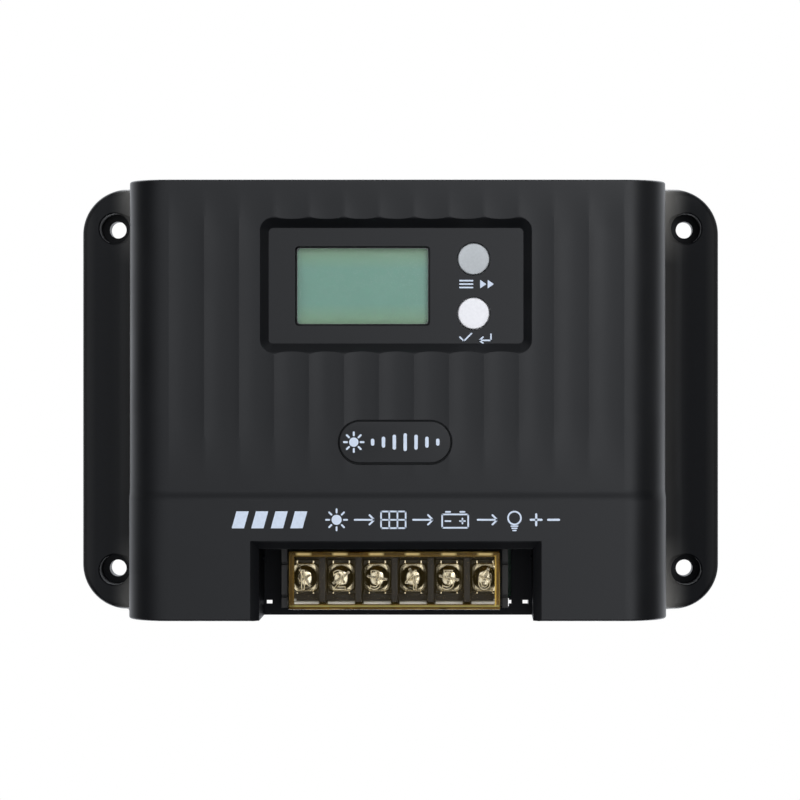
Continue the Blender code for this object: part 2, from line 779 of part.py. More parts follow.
def make_terminal_block(material):
    """The block: base, end walls with clip grooves, barriers, and a bridge over the plates."""
    block = box(
        "terminal_block",
        (BLOCK_X - END_WALL_OUTER, BLOCK_BASE_Y, BLOCK_BOTTOM_Z),
        (BLOCK_X + END_WALL_OUTER, BLOCK_BACK_Y, BLOCK_TOP_Z),
    )
    groove_half = 0.0004
    groove_depth = 0.0016
    for side in (-1, 1):
        near, far = sorted((BLOCK_X + side * END_WALL_INNER, BLOCK_X + side * END_WALL_OUTER))
        wall = box(
            f"end_wall_{side}",
            (near, END_WALL_FRONT_Y, BLOCK_BOTTOM_Z),
            (far, BLOCK_BACK_Y - PAST, BLOCK_TOP_Z),
        )
        join(block, wall)
        for number, z in enumerate(CLIP_GROOVE_ZS, 1):
            groove = box(
                f"clip_groove_{side}_{number}",
                (near - PAST, END_WALL_FRONT_Y - PAST, z - groove_half),
                (far + PAST, END_WALL_FRONT_Y + groove_depth, z + groove_half),
            )
            cut(block, groove)
    bridge_half = COVER_HALF_WIDTH - COVER_WALL - GAP
    bridge = box(
        "bridge",
        (BLOCK_X - bridge_half, BRIDGE_FRONT_Y, BRIDGE_BOTTOM_Z),
        (BLOCK_X + bridge_half, BLOCK_BASE_Y + PAST, BRIDGE_TOP_Z),
    )
    join(block, bridge)
    for number in range(1, POLES):
        x = BLOCK_X + (number - POLES / 2) * POLE_PITCH
        barrier = box(
            f"barrier_{number}",
            (x - BARRIER_HALF, BARRIER_FRONT_Y, BRIDGE_BOTTOM_Z),
            (x + BARRIER_HALF, BLOCK_BASE_Y + PAST, BARRIER_TOP_Z),
        )
        join(block, barrier)
    tunnel_half = PLATE_HALF_WIDTH + GAP
    well_back_y = SHANK_END_Y + GAP + 0.0002
    for pole in range(POLES):
        x = pole_x(pole)
        tunnel = box(
            f"plate_tunnel_{pole}",
            (x - tunnel_half, PLATE_FRONT_Y - GAP, BRIDGE_BOTTOM_Z - PAST / 2),
            (x + tunnel_half, PLATE_BACK_Y + GAP, BRIDGE_TOP_Z + PAST / 2),
        )
        cut(block, tunnel)
        well_radius = SHANK_HOLE_RADIUS + GAP
        well = rod(f"shank_well_{pole}", x, SCREW_Z, -0.0345, well_back_y, well_radius, 12)
        cut(block, well)
    finish_part(block, material)


def make_contact_plates(material):
    """Flat plates under the washers, each with a raised lip that shows below the bridge."""
    x = pole_x(0)
    first = box(
        "contact_plate_1",
        (x - PLATE_HALF_WIDTH, PLATE_FRONT_Y, PLATE_BOTTOM_Z),
        (x + PLATE_HALF_WIDTH, PLATE_BACK_Y, PLATE_TOP_Z),
    )
    hole_front_y = PLATE_FRONT_Y - PAST
    hole_back_y = PLATE_BACK_Y + PAST
    cut(first, rod("plate_hole", x, SCREW_Z, hole_front_y, hole_back_y, SHANK_HOLE_RADIUS, 14))
    lip = box(
        "plate_lip",
        (x - PLATE_HALF_WIDTH, PLATE_LIP_FRONT_Y, PLATE_BOTTOM_Z),
        (x + PLATE_HALF_WIDTH, (PLATE_FRONT_Y + PLATE_BACK_Y) / 2, BRIDGE_BOTTOM_Z - GAP),
    )
    join(first, lip)
    freeze(first)
    finish_part(first, material)
    for pole in range(1, POLES):
        copy_of(first, f"contact_plate_{pole + 1}", pole_x(pole), first.location.z)


def make_clamp_washers(material):
    x = pole_x(0)
    first = box(
        "clamp_washer_1",
        (x - WASHER_HALF[0], WASHER_FRONT_Y, SCREW_Z - WASHER_HALF[1]),
        (x + WASHER_HALF[0], WASHER_BACK_Y, SCREW_Z + WASHER_HALF[1]),
        corner=0.0014,
        segments=2,
    )
    hole_front_y = WASHER_FRONT_Y - PAST
    hole_back_y = WASHER_BACK_Y + PAST
    cut(first, rod("washer_hole", x, SCREW_Z, hole_front_y, hole_back_y, SHANK_HOLE_RADIUS, 14))
    freeze(first)
    finish_part(first, material)
    for pole in range(1, POLES):
        copy_of(first, f"clamp_washer_{pole + 1}", pole_x(pole), SCREW_Z)


def make_terminal_screws(material):
    """Pan-head screws for a flat or a cross driver, each left at its own angle."""
    seat_y = WASHER_FRONT_Y - GAP
    shank_length = SHANK_END_Y - seat_y
    top = SCREW_HEAD_HEIGHT
    tip = 0.0006
    profile = [
        (0.0, top),
        (SCREW_HEAD_RADIUS * 0.62, top * 0.9),
        (SCREW_HEAD_RADIUS * 0.92, top * 0.6),
        (SCREW_HEAD_RADIUS, top * 0.3),
        (SCREW_HEAD_RADIUS, 0.0),
        (SHANK_RADIUS, 0.0),
        (SHANK_RADIUS, -shank_length + tip),
        (SHANK_RADIUS - tip, -shank_length),
        (0.0, -shank_length),
    ]
    x = pole_x(0)
    first = turned("terminal_screw_1", profile, x, seat_y, SCREW_Z, steps=16)
    slot_bottom_y = seat_y - top + SCREW_SLOT_DEPTH
    in_front_y = seat_y - top - 2 * PAST
    slot_half_length = SCREW_HEAD_RADIUS + PAST
    long_slot = box(
        "long_slot",
        (x - slot_half_length, in_front_y, SCREW_Z - SCREW_SLOT_HALF_WIDTH),
        (x + slot_half_length, slot_bottom_y, SCREW_Z + SCREW_SLOT_HALF_WIDTH),
    )
    cross_slot = box(
        "cross_slot",
        (x - SCREW_SLOT_HALF_WIDTH, in_front_y, SCREW_Z - SCREW_CROSS_HALF_LENGTH),
        (x + SCREW_SLOT_HALF_WIDTH, slot_bottom_y, SCREW_Z + SCREW_CROSS_HALF_LENGTH),
    )
    cut(first, long_slot)
    cut(first, cross_slot)
    freeze(first)
    finish_part(first, material)
    screws = [first]
    for pole in range(1, POLES):
        screws.append(copy_of(first, f"terminal_screw_{pole + 1}", pole_x(pole), SCREW_Z))
    for screw, angle in zip(screws, SCREW_SLOT_ANGLES):
        screw.rotation_euler = (math.pi / 2, math.radians(-angle), 0.0)


def make_terminal_cover(material):
    """A clear box open at the back, with notches for the wires and room beside the end poles."""
    left = BLOCK_X - COVER_HALF_WIDTH
    right = BLOCK_X + COVER_HALF_WIDTH
    cover = box(
        "terminal_cover",
        (left, COVER_FRONT_Y, COVER_BOTTOM_Z),
        (right, COVER_BACK_Y, COVER_TOP_Z),
    )
    inside = box(
        "cover_inside",
        (left + COVER_WALL, COVER_FRONT_Y + COVER_WALL, COVER_BOTTOM_Z + COVER_WALL),
        (right - COVER_WALL, COVER_BACK_Y + PAST, COVER_TOP_Z - COVER_WALL),
    )
    cut(cover, inside)
    below_z = COVER_BOTTOM_Z - PAST
    behind_y = COVER_BACK_Y + PAST
    for pole in range(POLES):
        x = pole_x(pole)
        notch = box(
            f"wire_notch_{pole}",
            (x - WIRE_NOTCH_HALF_WIDTH, WIRE_NOTCH_FRONT_Y, below_z),
            (x + WIRE_NOTCH_HALF_WIDTH, behind_y, COVER_BOTTOM_Z + COVER_WALL + PAST / 2),
        )
        cut(cover, notch)
    for side, x in ((-1, left), (1, right)):
        side_cut = box(
            f"cover_side_cut_{side}",
            (x - 2 * COVER_WALL, COVER_SIDE_CUT_Y, below_z),
            (x + 2 * COVER_WALL, behind_y, SCREW_Z + COVER_SIDE_CUT_HALF),
        )
        cut(cover, side_cut)
    finish_part(cover, material)


def make_heatsink(material):
    """A plate with fins; its middle rib is thicker and reaches the wall."""
    sink = box(
        "heatsink_plate",
        (-SINK_HALF_WIDTH, SINK_FRONT_Y, SINK_BOTTOM_Z),
        (SINK_HALF_WIDTH, SINK_PLATE_BACK_Y, SINK_TOP_Z),
    )
    for number in range(-FINS_PER_SIDE, FINS_PER_SIDE + 1):
        x = number * FIN_PITCH
        half = FIN_THICKNESS / 2 if number else CENTRE_RIB_THICKNESS / 2
        back_y = FIN_BACK_Y if number else 0.0
        fin = box(
            f"fin_{number}",
            (x - half, SINK_PLATE_BACK_Y - PAST, SINK_BOTTOM_Z + PAST),
            (x + half, back_y, SINK_TOP_Z - PAST),
        )
        join(sink, fin)
    for number, (x, z) in enumerate(BOARD_SCREW_PLACES, 1):
        standoff = rod(
            f"standoff_{number}", x, z, BOARD_BACK_Y + GAP, SINK_FRONT_Y + PAST, STANDOFF_RADIUS, 14
        )
        join(sink, standoff)
        cut(sink, rod(f"standoff_hole_{number}", x, z, -0.0235, -0.0130, 0.0014, 12))
    for number, (x, z) in enumerate(HOUSING_SCREW_PLACES, 1):
        cut(sink, rod(f"sink_hole_{number}", x, z, SINK_FRONT_Y - PAST, 0.0, 0.0018, 12))
        cut(sink, rod(f"sink_head_well_{number}", x, z, HEAD_WELL_Y, 0.0, HEAD_WELL_RADIUS, 16))
    cut(sink, rod("clamp_thread", 0.0, MOSFET_Z, SINK_FRONT_Y - PAST, -0.0090, 0.0014, 12))
    finish_part(sink, material)


def make_main_board(board_material, steel):
    board = box(
        "main_board",
        (-BOARD_HALF_WIDTH, BOARD_FRONT_Y, BOARD_BOTTOM_Z),
        (BOARD_HALF_WIDTH, BOARD_BACK_Y, BOARD_TOP_Z),
    )
    for number, (x, z) in enumerate(BOARD_SCREW_PLACES, 1):
        hole = rod(
            f"board_hole_{number}", x, z, BOARD_FRONT_Y - PAST, BOARD_BACK_Y + PAST, 0.0016, 12
        )
        cut(board, hole)
        screw = small_screw(
            f"board_screw_{number}", x, z, BOARD_FRONT_Y - GAP, FRONT, 0.0028, 0.0011, 0.0080
        )
        finish_part(screw, steel)
    finish_part(board, board_material)


def make_housing_screws(steel):
    """The screws that hold the heatsink into the housing, driven from behind."""
    seat_y = HEAD_WELL_Y + GAP
    for number, (x, z) in enumerate(HOUSING_SCREW_PLACES, 1):
        name = f"housing_screw_{number}"
        finish_part(small_screw(name, x, z, seat_y, BACK, 0.0032, 0.0013, 0.0150), steel)


def winding_point(around, about):
    """A point on the wire's path, a torus round the core whose axis runs along Y."""
    major = 0.0117
    minor = 0.0072
    stretch_y = 1.05
    reach = major + minor * math.cos(about)
    return (
        INDUCTOR_CENTRE[0] + reach * math.cos(around),
        INDUCTOR_CENTRE[1] + minor * math.sin(about) * stretch_y,
        INDUCTOR_CENTRE[2] + reach * math.sin(around),
    )


def wire_object(name, points, radius, material):
    """A round wire through the points, with closed ends."""
    wire = bpy.data.curves.new(name, "CURVE")
    wire.dimensions = "3D"
    wire.bevel_depth = radius
    wire.bevel_resolution = 1
    wire.use_fill_caps = True
    path = wire.splines.new("POLY")
    path.points.add(len(points) - 1)
    for point, (x, y, z) in zip(path.points, points):
        point.co = (x, y, z, 1.0)
    wire.materials.append(material)
    add_part(bpy.data.objects.new(name, wire))


def make_inductor(core_material, copper):
    inner = 0.0082
    outer = 0.0152
    half_height = 0.0055
    edge = 0.0010
    core_profile = [
        (inner, half_height - edge),
        (inner + edge, half_height),
        (outer - edge, half_height),
        (outer, half_height - edge),
        (outer, -half_height + edge),
        (outer - edge, -half_height),
        (inner + edge, -half_height),
        (inner, -half_height + edge),
        (inner, half_height - edge),
    ]
    core = turned("inductor_core", core_profile, *INDUCTOR_CENTRE, steps=24)
    finish_part(core, core_material)
    points_per_turn = 8
    last = WINDING_TURNS * points_per_turn - 1
    first_deg = 20
    covered_deg = 320
    points = []
    for i in range(last + 1):
        around = math.radians(first_deg + covered_deg * i / last)
        points.append(winding_point(around, 2 * math.pi * i / points_per_turn))
    wire_object("inductor_winding", points, 0.0008, copper)


def make_capacitors(sleeve):
    """Upright cans with a rolled groove near the foot and a rim round the top."""
    radius = CAPACITOR_RADIUS
    height = CAPACITOR_HEIGHT
    rim = 0.0004
    groove_depth = 0.0005
    groove_height = 0.0024
    groove_half = 0.0006
    profile = [
        (0.0, height - rim),
        (radius - 3 * rim, height - rim),
        (radius - 2 * rim, height),
        (radius - rim, height),
        (radius, height - rim),
        (radius, groove_height + groove_half),
        (radius - groove_depth, groove_height),
        (radius, groove_height - groove_half),
        (radius, 0.0),
        (0.0, 0.0),
    ]
    for name, x, z in CAPACITOR_PLACES:
        finish_part(turned(name, profile, x, BOARD_FRONT_Y - GAP, z, steps=18), sleeve)


def mosfet(x, material):
    """A transistor package lying on the thermal pad, with three leads up to the board."""
    z = MOSFET_Z
    body = box("mosfet_1", (x - 0.005, -0.0176, z - 0.005), (x + 0.005, -0.0136, z + 0.0045))
    tab = box(
        "mosfet_tab", (x - 0.0051, -0.0145, z - 0.0085), (x + 0.0051, -0.0131, z + 0.004)
    )
    join(body, tab)
    lead_pitch = 0.00254
    half = 0.0004
    bend_z = z + 0.0080
    lead_back_y = -0.0154
    for lead in (-1, 0, 1):
        lead_x = x + lead * lead_pitch
        flat = box(
            f"lead_flat_{lead}",
            (lead_x - half, lead_back_y - 1.5 * half, z + 0.004),
            (lead_x + half, lead_back_y, bend_z),
        )
        riser = box(
            f"lead_riser_{lead}",
            (lead_x - half, BOARD_BACK_Y + GAP, bend_z - 2 * half),
            (lead_x + half, lead_back_y - half / 2, bend_z),
        )
        join(body, flat)
        join(body, riser)
    freeze(body)
    finish_part(body, material)
    return body


def make_mosfets(epoxy, steel, clamp_material, pad_material):
    """Four transistors pressed onto a thermal pad by one bar and one screw."""
    pad = box(
        "thermal_pad", (-0.034, -0.0128, MOSFET_Z - 0.010), (0.034, -0.0123, MOSFET_Z + 0.010)
    )
    cut(pad, rod("pad_hole", 0.0, MOSFET_Z, -0.014, -0.011, 0.0019, 12))
    finish_part(pad, pad_material)
    first_x = MOSFET_XS[0]
    first = mosfet(first_x, epoxy)
    for number, x in enumerate(MOSFET_XS[1:], 2):
        copy_of(first, f"mosfet_{number}", first.location.x + x - first_x, first.location.z)
    bar = box(
        "mosfet_clamp",
        (-0.0330, CLAMP_BAR_FRONT_Y, MOSFET_Z - 0.003),
        (0.0330, -0.0179, MOSFET_Z + 0.003),
        corner=0.001,
        segments=2,
    )
    cut(bar, rod("clamp_hole", 0.0, MOSFET_Z, -0.021, -0.017, 0.0017, 12))
    finish_part(bar, clamp_material)
    screw = small_screw(
        "clamp_screw", 0.0, MOSFET_Z, CLAMP_BAR_FRONT_Y - GAP, FRONT, 0.0026, 0.0011, 0.0090
    )
    finish_part(screw, steel)


def make_microcontroller(epoxy):
    chip = box(
        "microcontroller",
        (0.012, -0.0260, 0.022),
        (0.026, BOARD_FRONT_Y - GAP, 0.036),
        corner=0.0008,
        segments=1,
    )
    finish_part(chip, epoxy)


def make_current_shunt(metal):
    """A thick wire bridge that stands on the board; its voltage drop measures the current."""
    x = 0.052
    low_z = -0.032
    high_z = -0.006
    foot_y = BOARD_FRONT_Y - GAP
    top_y = foot_y - 0.005
    bend = 0.0015
    points = [
        (x, foot_y, low_z),
        (x, top_y + bend, low_z),
        (x, top_y, low_z + bend),
        (x, top_y, high_z - bend),
        (x, top_y + bend, high_z),
        (x, foot_y, high_z),
    ]
    wire_object("current_shunt", points, 0.0010, metal)


def make_ribbon_cable(material):
    """A flat cable that leaves the display board, bends twice and meets the main board."""
    half_width = 0.006
    middle_x = -0.004
    middle_z = 0.020
    swing = 0.006
    start_y = DISPLAY_BOARD_BACK_Y + 2.5 * GAP
    end_y = BOARD_FRONT_Y - 2.5 * GAP
    steps = 10
    shape = bmesh.new()
    rows = []
    for i in range(steps + 1):
        t = i / steps
        y = start_y + (end_y - start_y) * t
        z = middle_z + swing * math.sin(2 * math.pi * t)
        rows.append([shape.verts.new((middle_x + side * half_width, y, z)) for side in (-1, 1)])
    for near, far in zip(rows, rows[1:]):
        shape.faces.new((near[0], near[1], far[1], far[0]))
    cable = mesh_object("ribbon_cable", shape)
    thick = cable.modifiers.new("Thickness", "SOLIDIFY")
    thick.thickness = 0.0008
    thick.offset = 0.0
    finish_part(cable, material)


def build():
    steel = make_material("screw_steel", (0.55, 0.55, 0.56), 0.35, 1.0)
    nickel = make_material("terminal_nickel", (0.72, 0.66, 0.52), 0.28, 1.0)
    black = make_material("moulding_black", (0.02, 0.02, 0.021), 0.5)
    board_green = make_material("board_green", (0.02, 0.12, 0.05), 0.4)
    epoxy = make_material("epoxy_black", (0.03, 0.03, 0.03), 0.5)
    button_white = make_material("button_white", (0.80, 0.81, 0.84), 0.35)
    button_grey = make_material("button_grey", (0.47, 0.50, 0.53), 0.35)
    aluminium = make_material("plate_aluminium", (0.60, 0.61, 0.62), 0.40, 1.0)
    make_housing()
    make_badge(black)
    make_display()
    make_display_board(board_green, steel)
    make_button("select_button", SELECT_Z, SELECT_FRONT_Y, button_grey)
    make_button("enter_button", ENTER_Z, ENTER_FRONT_Y, button_white)
    make_switch("select", SELECT_Z, epoxy, black)
    make_switch("enter", ENTER_Z, epoxy, black)
    make_terminal_block(black)
    make_contact_plates(nickel)
    make_clamp_washers(nickel)
    make_terminal_screws(nickel)
    make_terminal_cover(make_material("cover_amber", (0.45, 0.25, 0.06), 0.12, alpha=0.5))
    make_heatsink(aluminium)
    make_main_board(board_green, steel)
    make_housing_screws(steel)
    make_inductor(
        make_material("core_yellow", (0.55, 0.45, 0.10), 0.5),
        make_material("enamel_copper", (0.60, 0.25, 0.10), 0.3, 1.0),
    )
    make_capacitors(make_material("sleeve_black", (0.04, 0.04, 0.06), 0.4))
    make_mosfets(epoxy, steel, aluminium, make_material("pad_grey", (0.4, 0.42, 0.5), 0.8))
    make_microcontroller(epoxy)
    make_current_shunt(nickel)
    make_ribbon_cable(make_material("cable_grey", (0.45, 0.45, 0.45), 0.6))


clear_scene()
new_collection(PARTS)
new_collection(CUTTERS).hide_render = True
build()
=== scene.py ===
"""Looks of the solar charge controller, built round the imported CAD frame.

Metres; X to the right, Z up, the front faces -Y and the wall is at y = 0. The CAD says where
everything is. This script makes the fine surfaces, the materials, the light and the camera.
"""

import math

import bmesh
import bpy
from mathutils import Matrix, Vector


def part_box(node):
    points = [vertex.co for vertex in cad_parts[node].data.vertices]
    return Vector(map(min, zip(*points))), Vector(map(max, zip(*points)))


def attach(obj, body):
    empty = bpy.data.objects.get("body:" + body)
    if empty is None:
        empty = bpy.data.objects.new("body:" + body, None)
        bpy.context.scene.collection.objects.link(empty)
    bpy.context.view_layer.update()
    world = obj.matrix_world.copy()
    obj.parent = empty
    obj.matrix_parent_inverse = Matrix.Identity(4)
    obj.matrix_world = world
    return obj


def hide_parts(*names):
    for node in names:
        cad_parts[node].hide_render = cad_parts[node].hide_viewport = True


MM = 0.001
TINY_RADIUS = 0.02 * MM
ON_AXIS = 1e-7  # a radius below this is a point
PLASTIC_GLOSS = 0.28
PRINTED_BLACK = (0.004, 0.004, 0.004)

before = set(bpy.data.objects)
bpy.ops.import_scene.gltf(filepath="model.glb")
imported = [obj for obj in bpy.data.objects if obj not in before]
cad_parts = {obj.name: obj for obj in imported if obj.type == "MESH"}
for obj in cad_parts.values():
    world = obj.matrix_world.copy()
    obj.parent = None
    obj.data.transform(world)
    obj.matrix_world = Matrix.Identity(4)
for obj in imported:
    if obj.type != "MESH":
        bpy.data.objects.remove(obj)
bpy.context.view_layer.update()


def centre_of(node):
    """The middle of a CAD node's box."""
    low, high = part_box(node)
    return (low + high) / 2


def numbered(name, count):
    """The names of a group of nodes that differ by number, from 1."""
    return [f"{name}_{number}" for number in range(1, count + 1)]


def link_new(name, data):
    """A new object in the scene."""
    made = bpy.data.objects.new(name, data)
    bpy.context.scene.collection.objects.link(made)
    return made


# Driving sizes, read from the frame
HOUSING_LOW, HOUSING_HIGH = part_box("front_housing")
HALF_WIDTH = HOUSING_HIGH.x
HALF_HEIGHT = HOUSING_HIGH.z
FRONT_Y = HOUSING_LOW.y
OUTSIDE_Y = FRONT_Y - 2 * MM
POLES = 6
POLE_PITCH = 10.16 * MM
POLE_XS = [centre_of(node).x for node in numbered("terminal_screw", POLES)]
SCREW_Z = centre_of("terminal_screw_1").z

# Housing body, flange and flutes
BODY_HALF_WIDTH = 75.0 * MM
LABEL_EXTRA_HALF_WIDTH = 0.3 * MM
FLANGE_THICKNESS = 13.0 * MM
FLANGE_CORNER_RADIUS = 13.2 * MM
FLANGE_EDGE_ROUND = 1.8 * MM
FILLET_RADIUS = 7.1 * MM
SHOULDER_RADIUS = 12.0 * MM
END_ROUND = 0.7 * MM
WALL = 2.5 * MM
INNER_FRONT_Y = -51.8 * MM
FLUTES = 13
FLUTE_SAMPLES = 14
FLUTE_PITCH = 9.67 * MM
FLUTE_DEPTH = 0.55 * MM
FLUTE_FULL_TOP_Z = 45.0 * MM
FLUTE_FADE_START_Z = -3.0 * MM
FLUTE_END_Z = -24.5 * MM
STEP_END_Z = -28.0 * MM
STEP_DROP = 0.8 * MM
CLOSEST_ROWS = 0.04 * MM

# Inside the housing
FLANGE_POCKET_HALF_HEIGHT = 56 * MM
FLANGE_POCKET_CORNER = 5.8 * MM
BOSS_RADIUS = 6.4 * MM
BACKING_HALF = (40.8 * MM, 21.5 * MM)
COLUMN_SEAT_Y = -12.0 * MM
COLUMN_RADIUS = 4.0 * MM
POST_RADIUS = 2.8 * MM

# Openings
MOUNT_X = 83.1 * MM
MOUNT_Z = 49.6 * MM
MOUNT_HOLE_RADIUS = 2.45 * MM
COUNTERBORE_RADIUS = 4.4 * MM
COUNTERBORE_FLOOR_Y = -5.0 * MM
RECESS_X = -0.2 * MM
RECESS_Z = 31.8 * MM
RECESS_HALF = (38.1 * MM, 18.8 * MM)
RECESS_DEPTH = 2.8 * MM
RECESS_CORNER = 4.0 * MM
RECESS_FLOOR_CORNER = 1.3 * MM
RECESS_LIP_ROUND = 1.5 * MM
PANEL_BACK_Y = -49.8 * MM
BUTTON_HOLE_RADIUS = 4.6 * MM
BUTTON_RIM_Y = -49.4 * MM
BADGE_SHADOW_DROP = 0.22 * MM
BAY_X = -0.2 * MM
BAY_HALF_WIDTH = 38.0 * MM
BAY_TOP_Z = -41.2 * MM
BAY_CHAMFER = 2.3 * MM
BAY_FLOOR_Y = -32.0 * MM
GAP = 0.3 * MM  # clearance round a part that sits in the housing
PAST = 1.0 * MM  # how far a cutter or a joint runs past its surface

# Clamp washers: flat under the screw head, then falling back by this much per unit of radius
WASHER_FLAT_RADIUS = 3.3 * MM
WASHER_SLOPE = 0.24

# Stage
FLOOR_RADIUS = 1.3
FLOOR_Z = -0.40


# ---------------------------------------------------------------- mesh tools


def add_mesh(name, shape, smooth_deg=30):
    """A new object from a bmesh, with its faces pointing out and its corners kept sharp."""
    bmesh.ops.recalc_face_normals(shape, faces=shape.faces)
    mesh = bpy.data.meshes.new(name)
    shape.to_mesh(mesh)
    shape.free()
    made = link_new(name, mesh)
    shade(made, smooth_deg)
    return made


def shade(made, smooth_deg):
    """Smooth shading, except across edges sharper than the angle."""
    made.data.shade_smooth()
    made.data.set_sharp_from_angle(angle=math.radians(smooth_deg))


def loft(name, sections, smooth_deg=30, flat=False):
    """A closed solid through loops of points that all have the same count."""
    shape = bmesh.new()
    rings = [[shape.verts.new(point) for point in section] for section in sections]
    count = len(rings[0])
    for near, far in zip(rings, rings[1:]):
        for i in range(count):
            j = (i + 1) % count
            shape.faces.new((near[i], near[j], far[j], far[i]))
    shape.faces.new(rings[0][::-1])
    shape.faces.new(rings[-1])
    if flat:
        bmesh.ops.triangulate(shape, faces=shape.faces)
    return add_mesh(name, shape, smooth_deg)


def arc(centre, radius, start_deg, end_deg, steps):
    """Points (u, v) along an arc."""
    points = []
    for i in range(steps + 1):
        angle = math.radians(start_deg + (end_deg - start_deg) * i / steps)
        points.append((centre[0] + radius * math.cos(angle), centre[1] + radius * math.sin(angle)))
    return points


def rounded_outline(x, z, half_x, half_z, corner, y, steps=10):
    """A loop round a rectangle with round corners, in the plane y."""
    points = []
    for sign_x, sign_z, start in ((1, 1, 0), (-1, 1, 90), (-1, -1, 180), (1, -1, 270)):
        centre = (x + sign_x * (half_x - corner), z + sign_z * (half_z - corner))
        points.extend((px, y, pz) for px, pz in arc(centre, corner, start, start + 90, steps))
    return points


def plate_outline(low, high, grow, corner, y, steps=10):
    """A rounded outline round a box seen from the front, grown on every side."""
    centre = (low + high) / 2
    half = (high - low) / 2
    return rounded_outline(centre.x, centre.z, half.x + grow, half.z + grow, corner, y, steps)


def soft_plate(name, low, high, corner, edge, steps=10, edge_steps=4):
    """A plate facing -Y with round corners and rounded front edges."""
    sections = [(0.0, high.y)]
    for inset, depth in arc((edge, edge), edge, 180, 270, edge_steps):
        sections.append((inset, low.y + depth))
    loops = [
        plate_outline(low, high, -inset, max(corner - inset, TINY_RADIUS), y, steps)
        for inset, y in sections
    ]
    return loft(name, loops, smooth_deg=40)


def box(name, low, high):
    """A sharp-edged box between two corners."""
    shape = bmesh.new()
    bmesh.ops.create_cube(shape, size=1.0)
    bmesh.ops.scale(shape, vec=Vector(high) - Vector(low), verts=shape.verts)
    bmesh.ops.translate(shape, vec=(Vector(low) + Vector(high)) / 2, verts=shape.verts)
    return add_mesh(name, shape)


def soft_box(name, low, high, edge, segments=2):
    """A box with all its edges rounded."""
    made = box(name, low, high)
    shape = bmesh.new()
    shape.from_mesh(made.data)
    bmesh.ops.bevel(
        shape, geom=shape.edges[:], offset=edge, segments=segments, profile=0.5, affect="EDGES"
    )
    shape.to_mesh(made.data)
    shape.free()
    shade(made, 40)
    return made


def turned(name, profile, x, base_y, z, steps=48, smooth_deg=30):
    """A turned solid on an axis along -Y; profile is (radius, height towards the front)."""
    shape = bmesh.new()
    rings = []
    for radius, height in profile:
        points = arc((x, z), radius, 0, 360, steps)[:-1] if radius > ON_AXIS else [(x, z)]
        rings.append([shape.verts.new((u, base_y - height, v)) for u, v in points])
    for near, far in zip(rings, rings[1:]):
        for i in range(steps):
            j = (i + 1) % steps
            corners = []
            for loop, at in ((near, i), (near, j), (far, j), (far, i)):
                vert = loop[at % len(loop)]
                if vert not in corners:
                    corners.append(vert)
            if len(corners) > 2:
                shape.faces.new(corners)
    return add_mesh(name, shape, smooth_deg)


def rod(name, x, z, front_y, back_y, radius, steps=32):
    """A plain cylinder on an axis along Y."""
    length = back_y - front_y
    profile = [(0.0, length), (radius, length), (radius, 0.0), (0.0, 0.0)]
    return turned(name, profile, x, back_y, z, steps)


def freeze(made):
    """Replaces the object's mesh with its evaluated one."""
    bpy.context.view_layer.update()
    graph = bpy.context.evaluated_depsgraph_get()
    made.data = bpy.data.meshes.new_from_object(made.evaluated_get(graph))
    made.modifiers.clear()


def combine(target, operation, tools):
    """One Boolean with a whole group of tools, which are then removed."""
    group = bpy.data.collections.new("tools")
    bpy.context.scene.collection.children.link(group)
    for tool in tools:
        bpy.context.scene.collection.objects.unlink(tool)
        group.objects.link(tool)
    step = target.modifiers.new("Combine", "BOOLEAN")
    step.operation = operation
    step.solver = "EXACT"
    step.operand_type = "COLLECTION"
    step.collection = group
    freeze(target)
    for tool in tools:
        bpy.data.objects.remove(tool, do_unlink=True)
    bpy.data.collections.remove(group)


def join_meshes(name, parts):
    """One object holding the meshes of several, which are then removed."""
    shape = bmesh.new()
    for part in parts:
        mesh = part.data.copy()
        mesh.transform(part.matrix_world)
        shape.from_mesh(mesh)
        bpy.data.meshes.remove(mesh)
    made = add_mesh(name, shape, 40)
    for part in parts:
        bpy.data.objects.remove(part, do_unlink=True)
    return made


def weighted_normals(made):
    """Large flat faces keep their own direction next to small rounded ones."""
    step = made.modifiers.new("Weighted normals", "WEIGHTED_NORMAL")
    step.mode = "FACE_AREA"
    step.keep_sharp = True
    step.weight = 60


def finish_piece(made, material, body, replaces=()):
    """Gives a piece its material and body, and hides the CAD nodes it stands in for."""
    made.data.materials.clear()
    made.data.materials.append(material)
    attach(made, body)
    if replaces:
        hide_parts(*replaces)


# ---------------------------------------------------------------- material tools


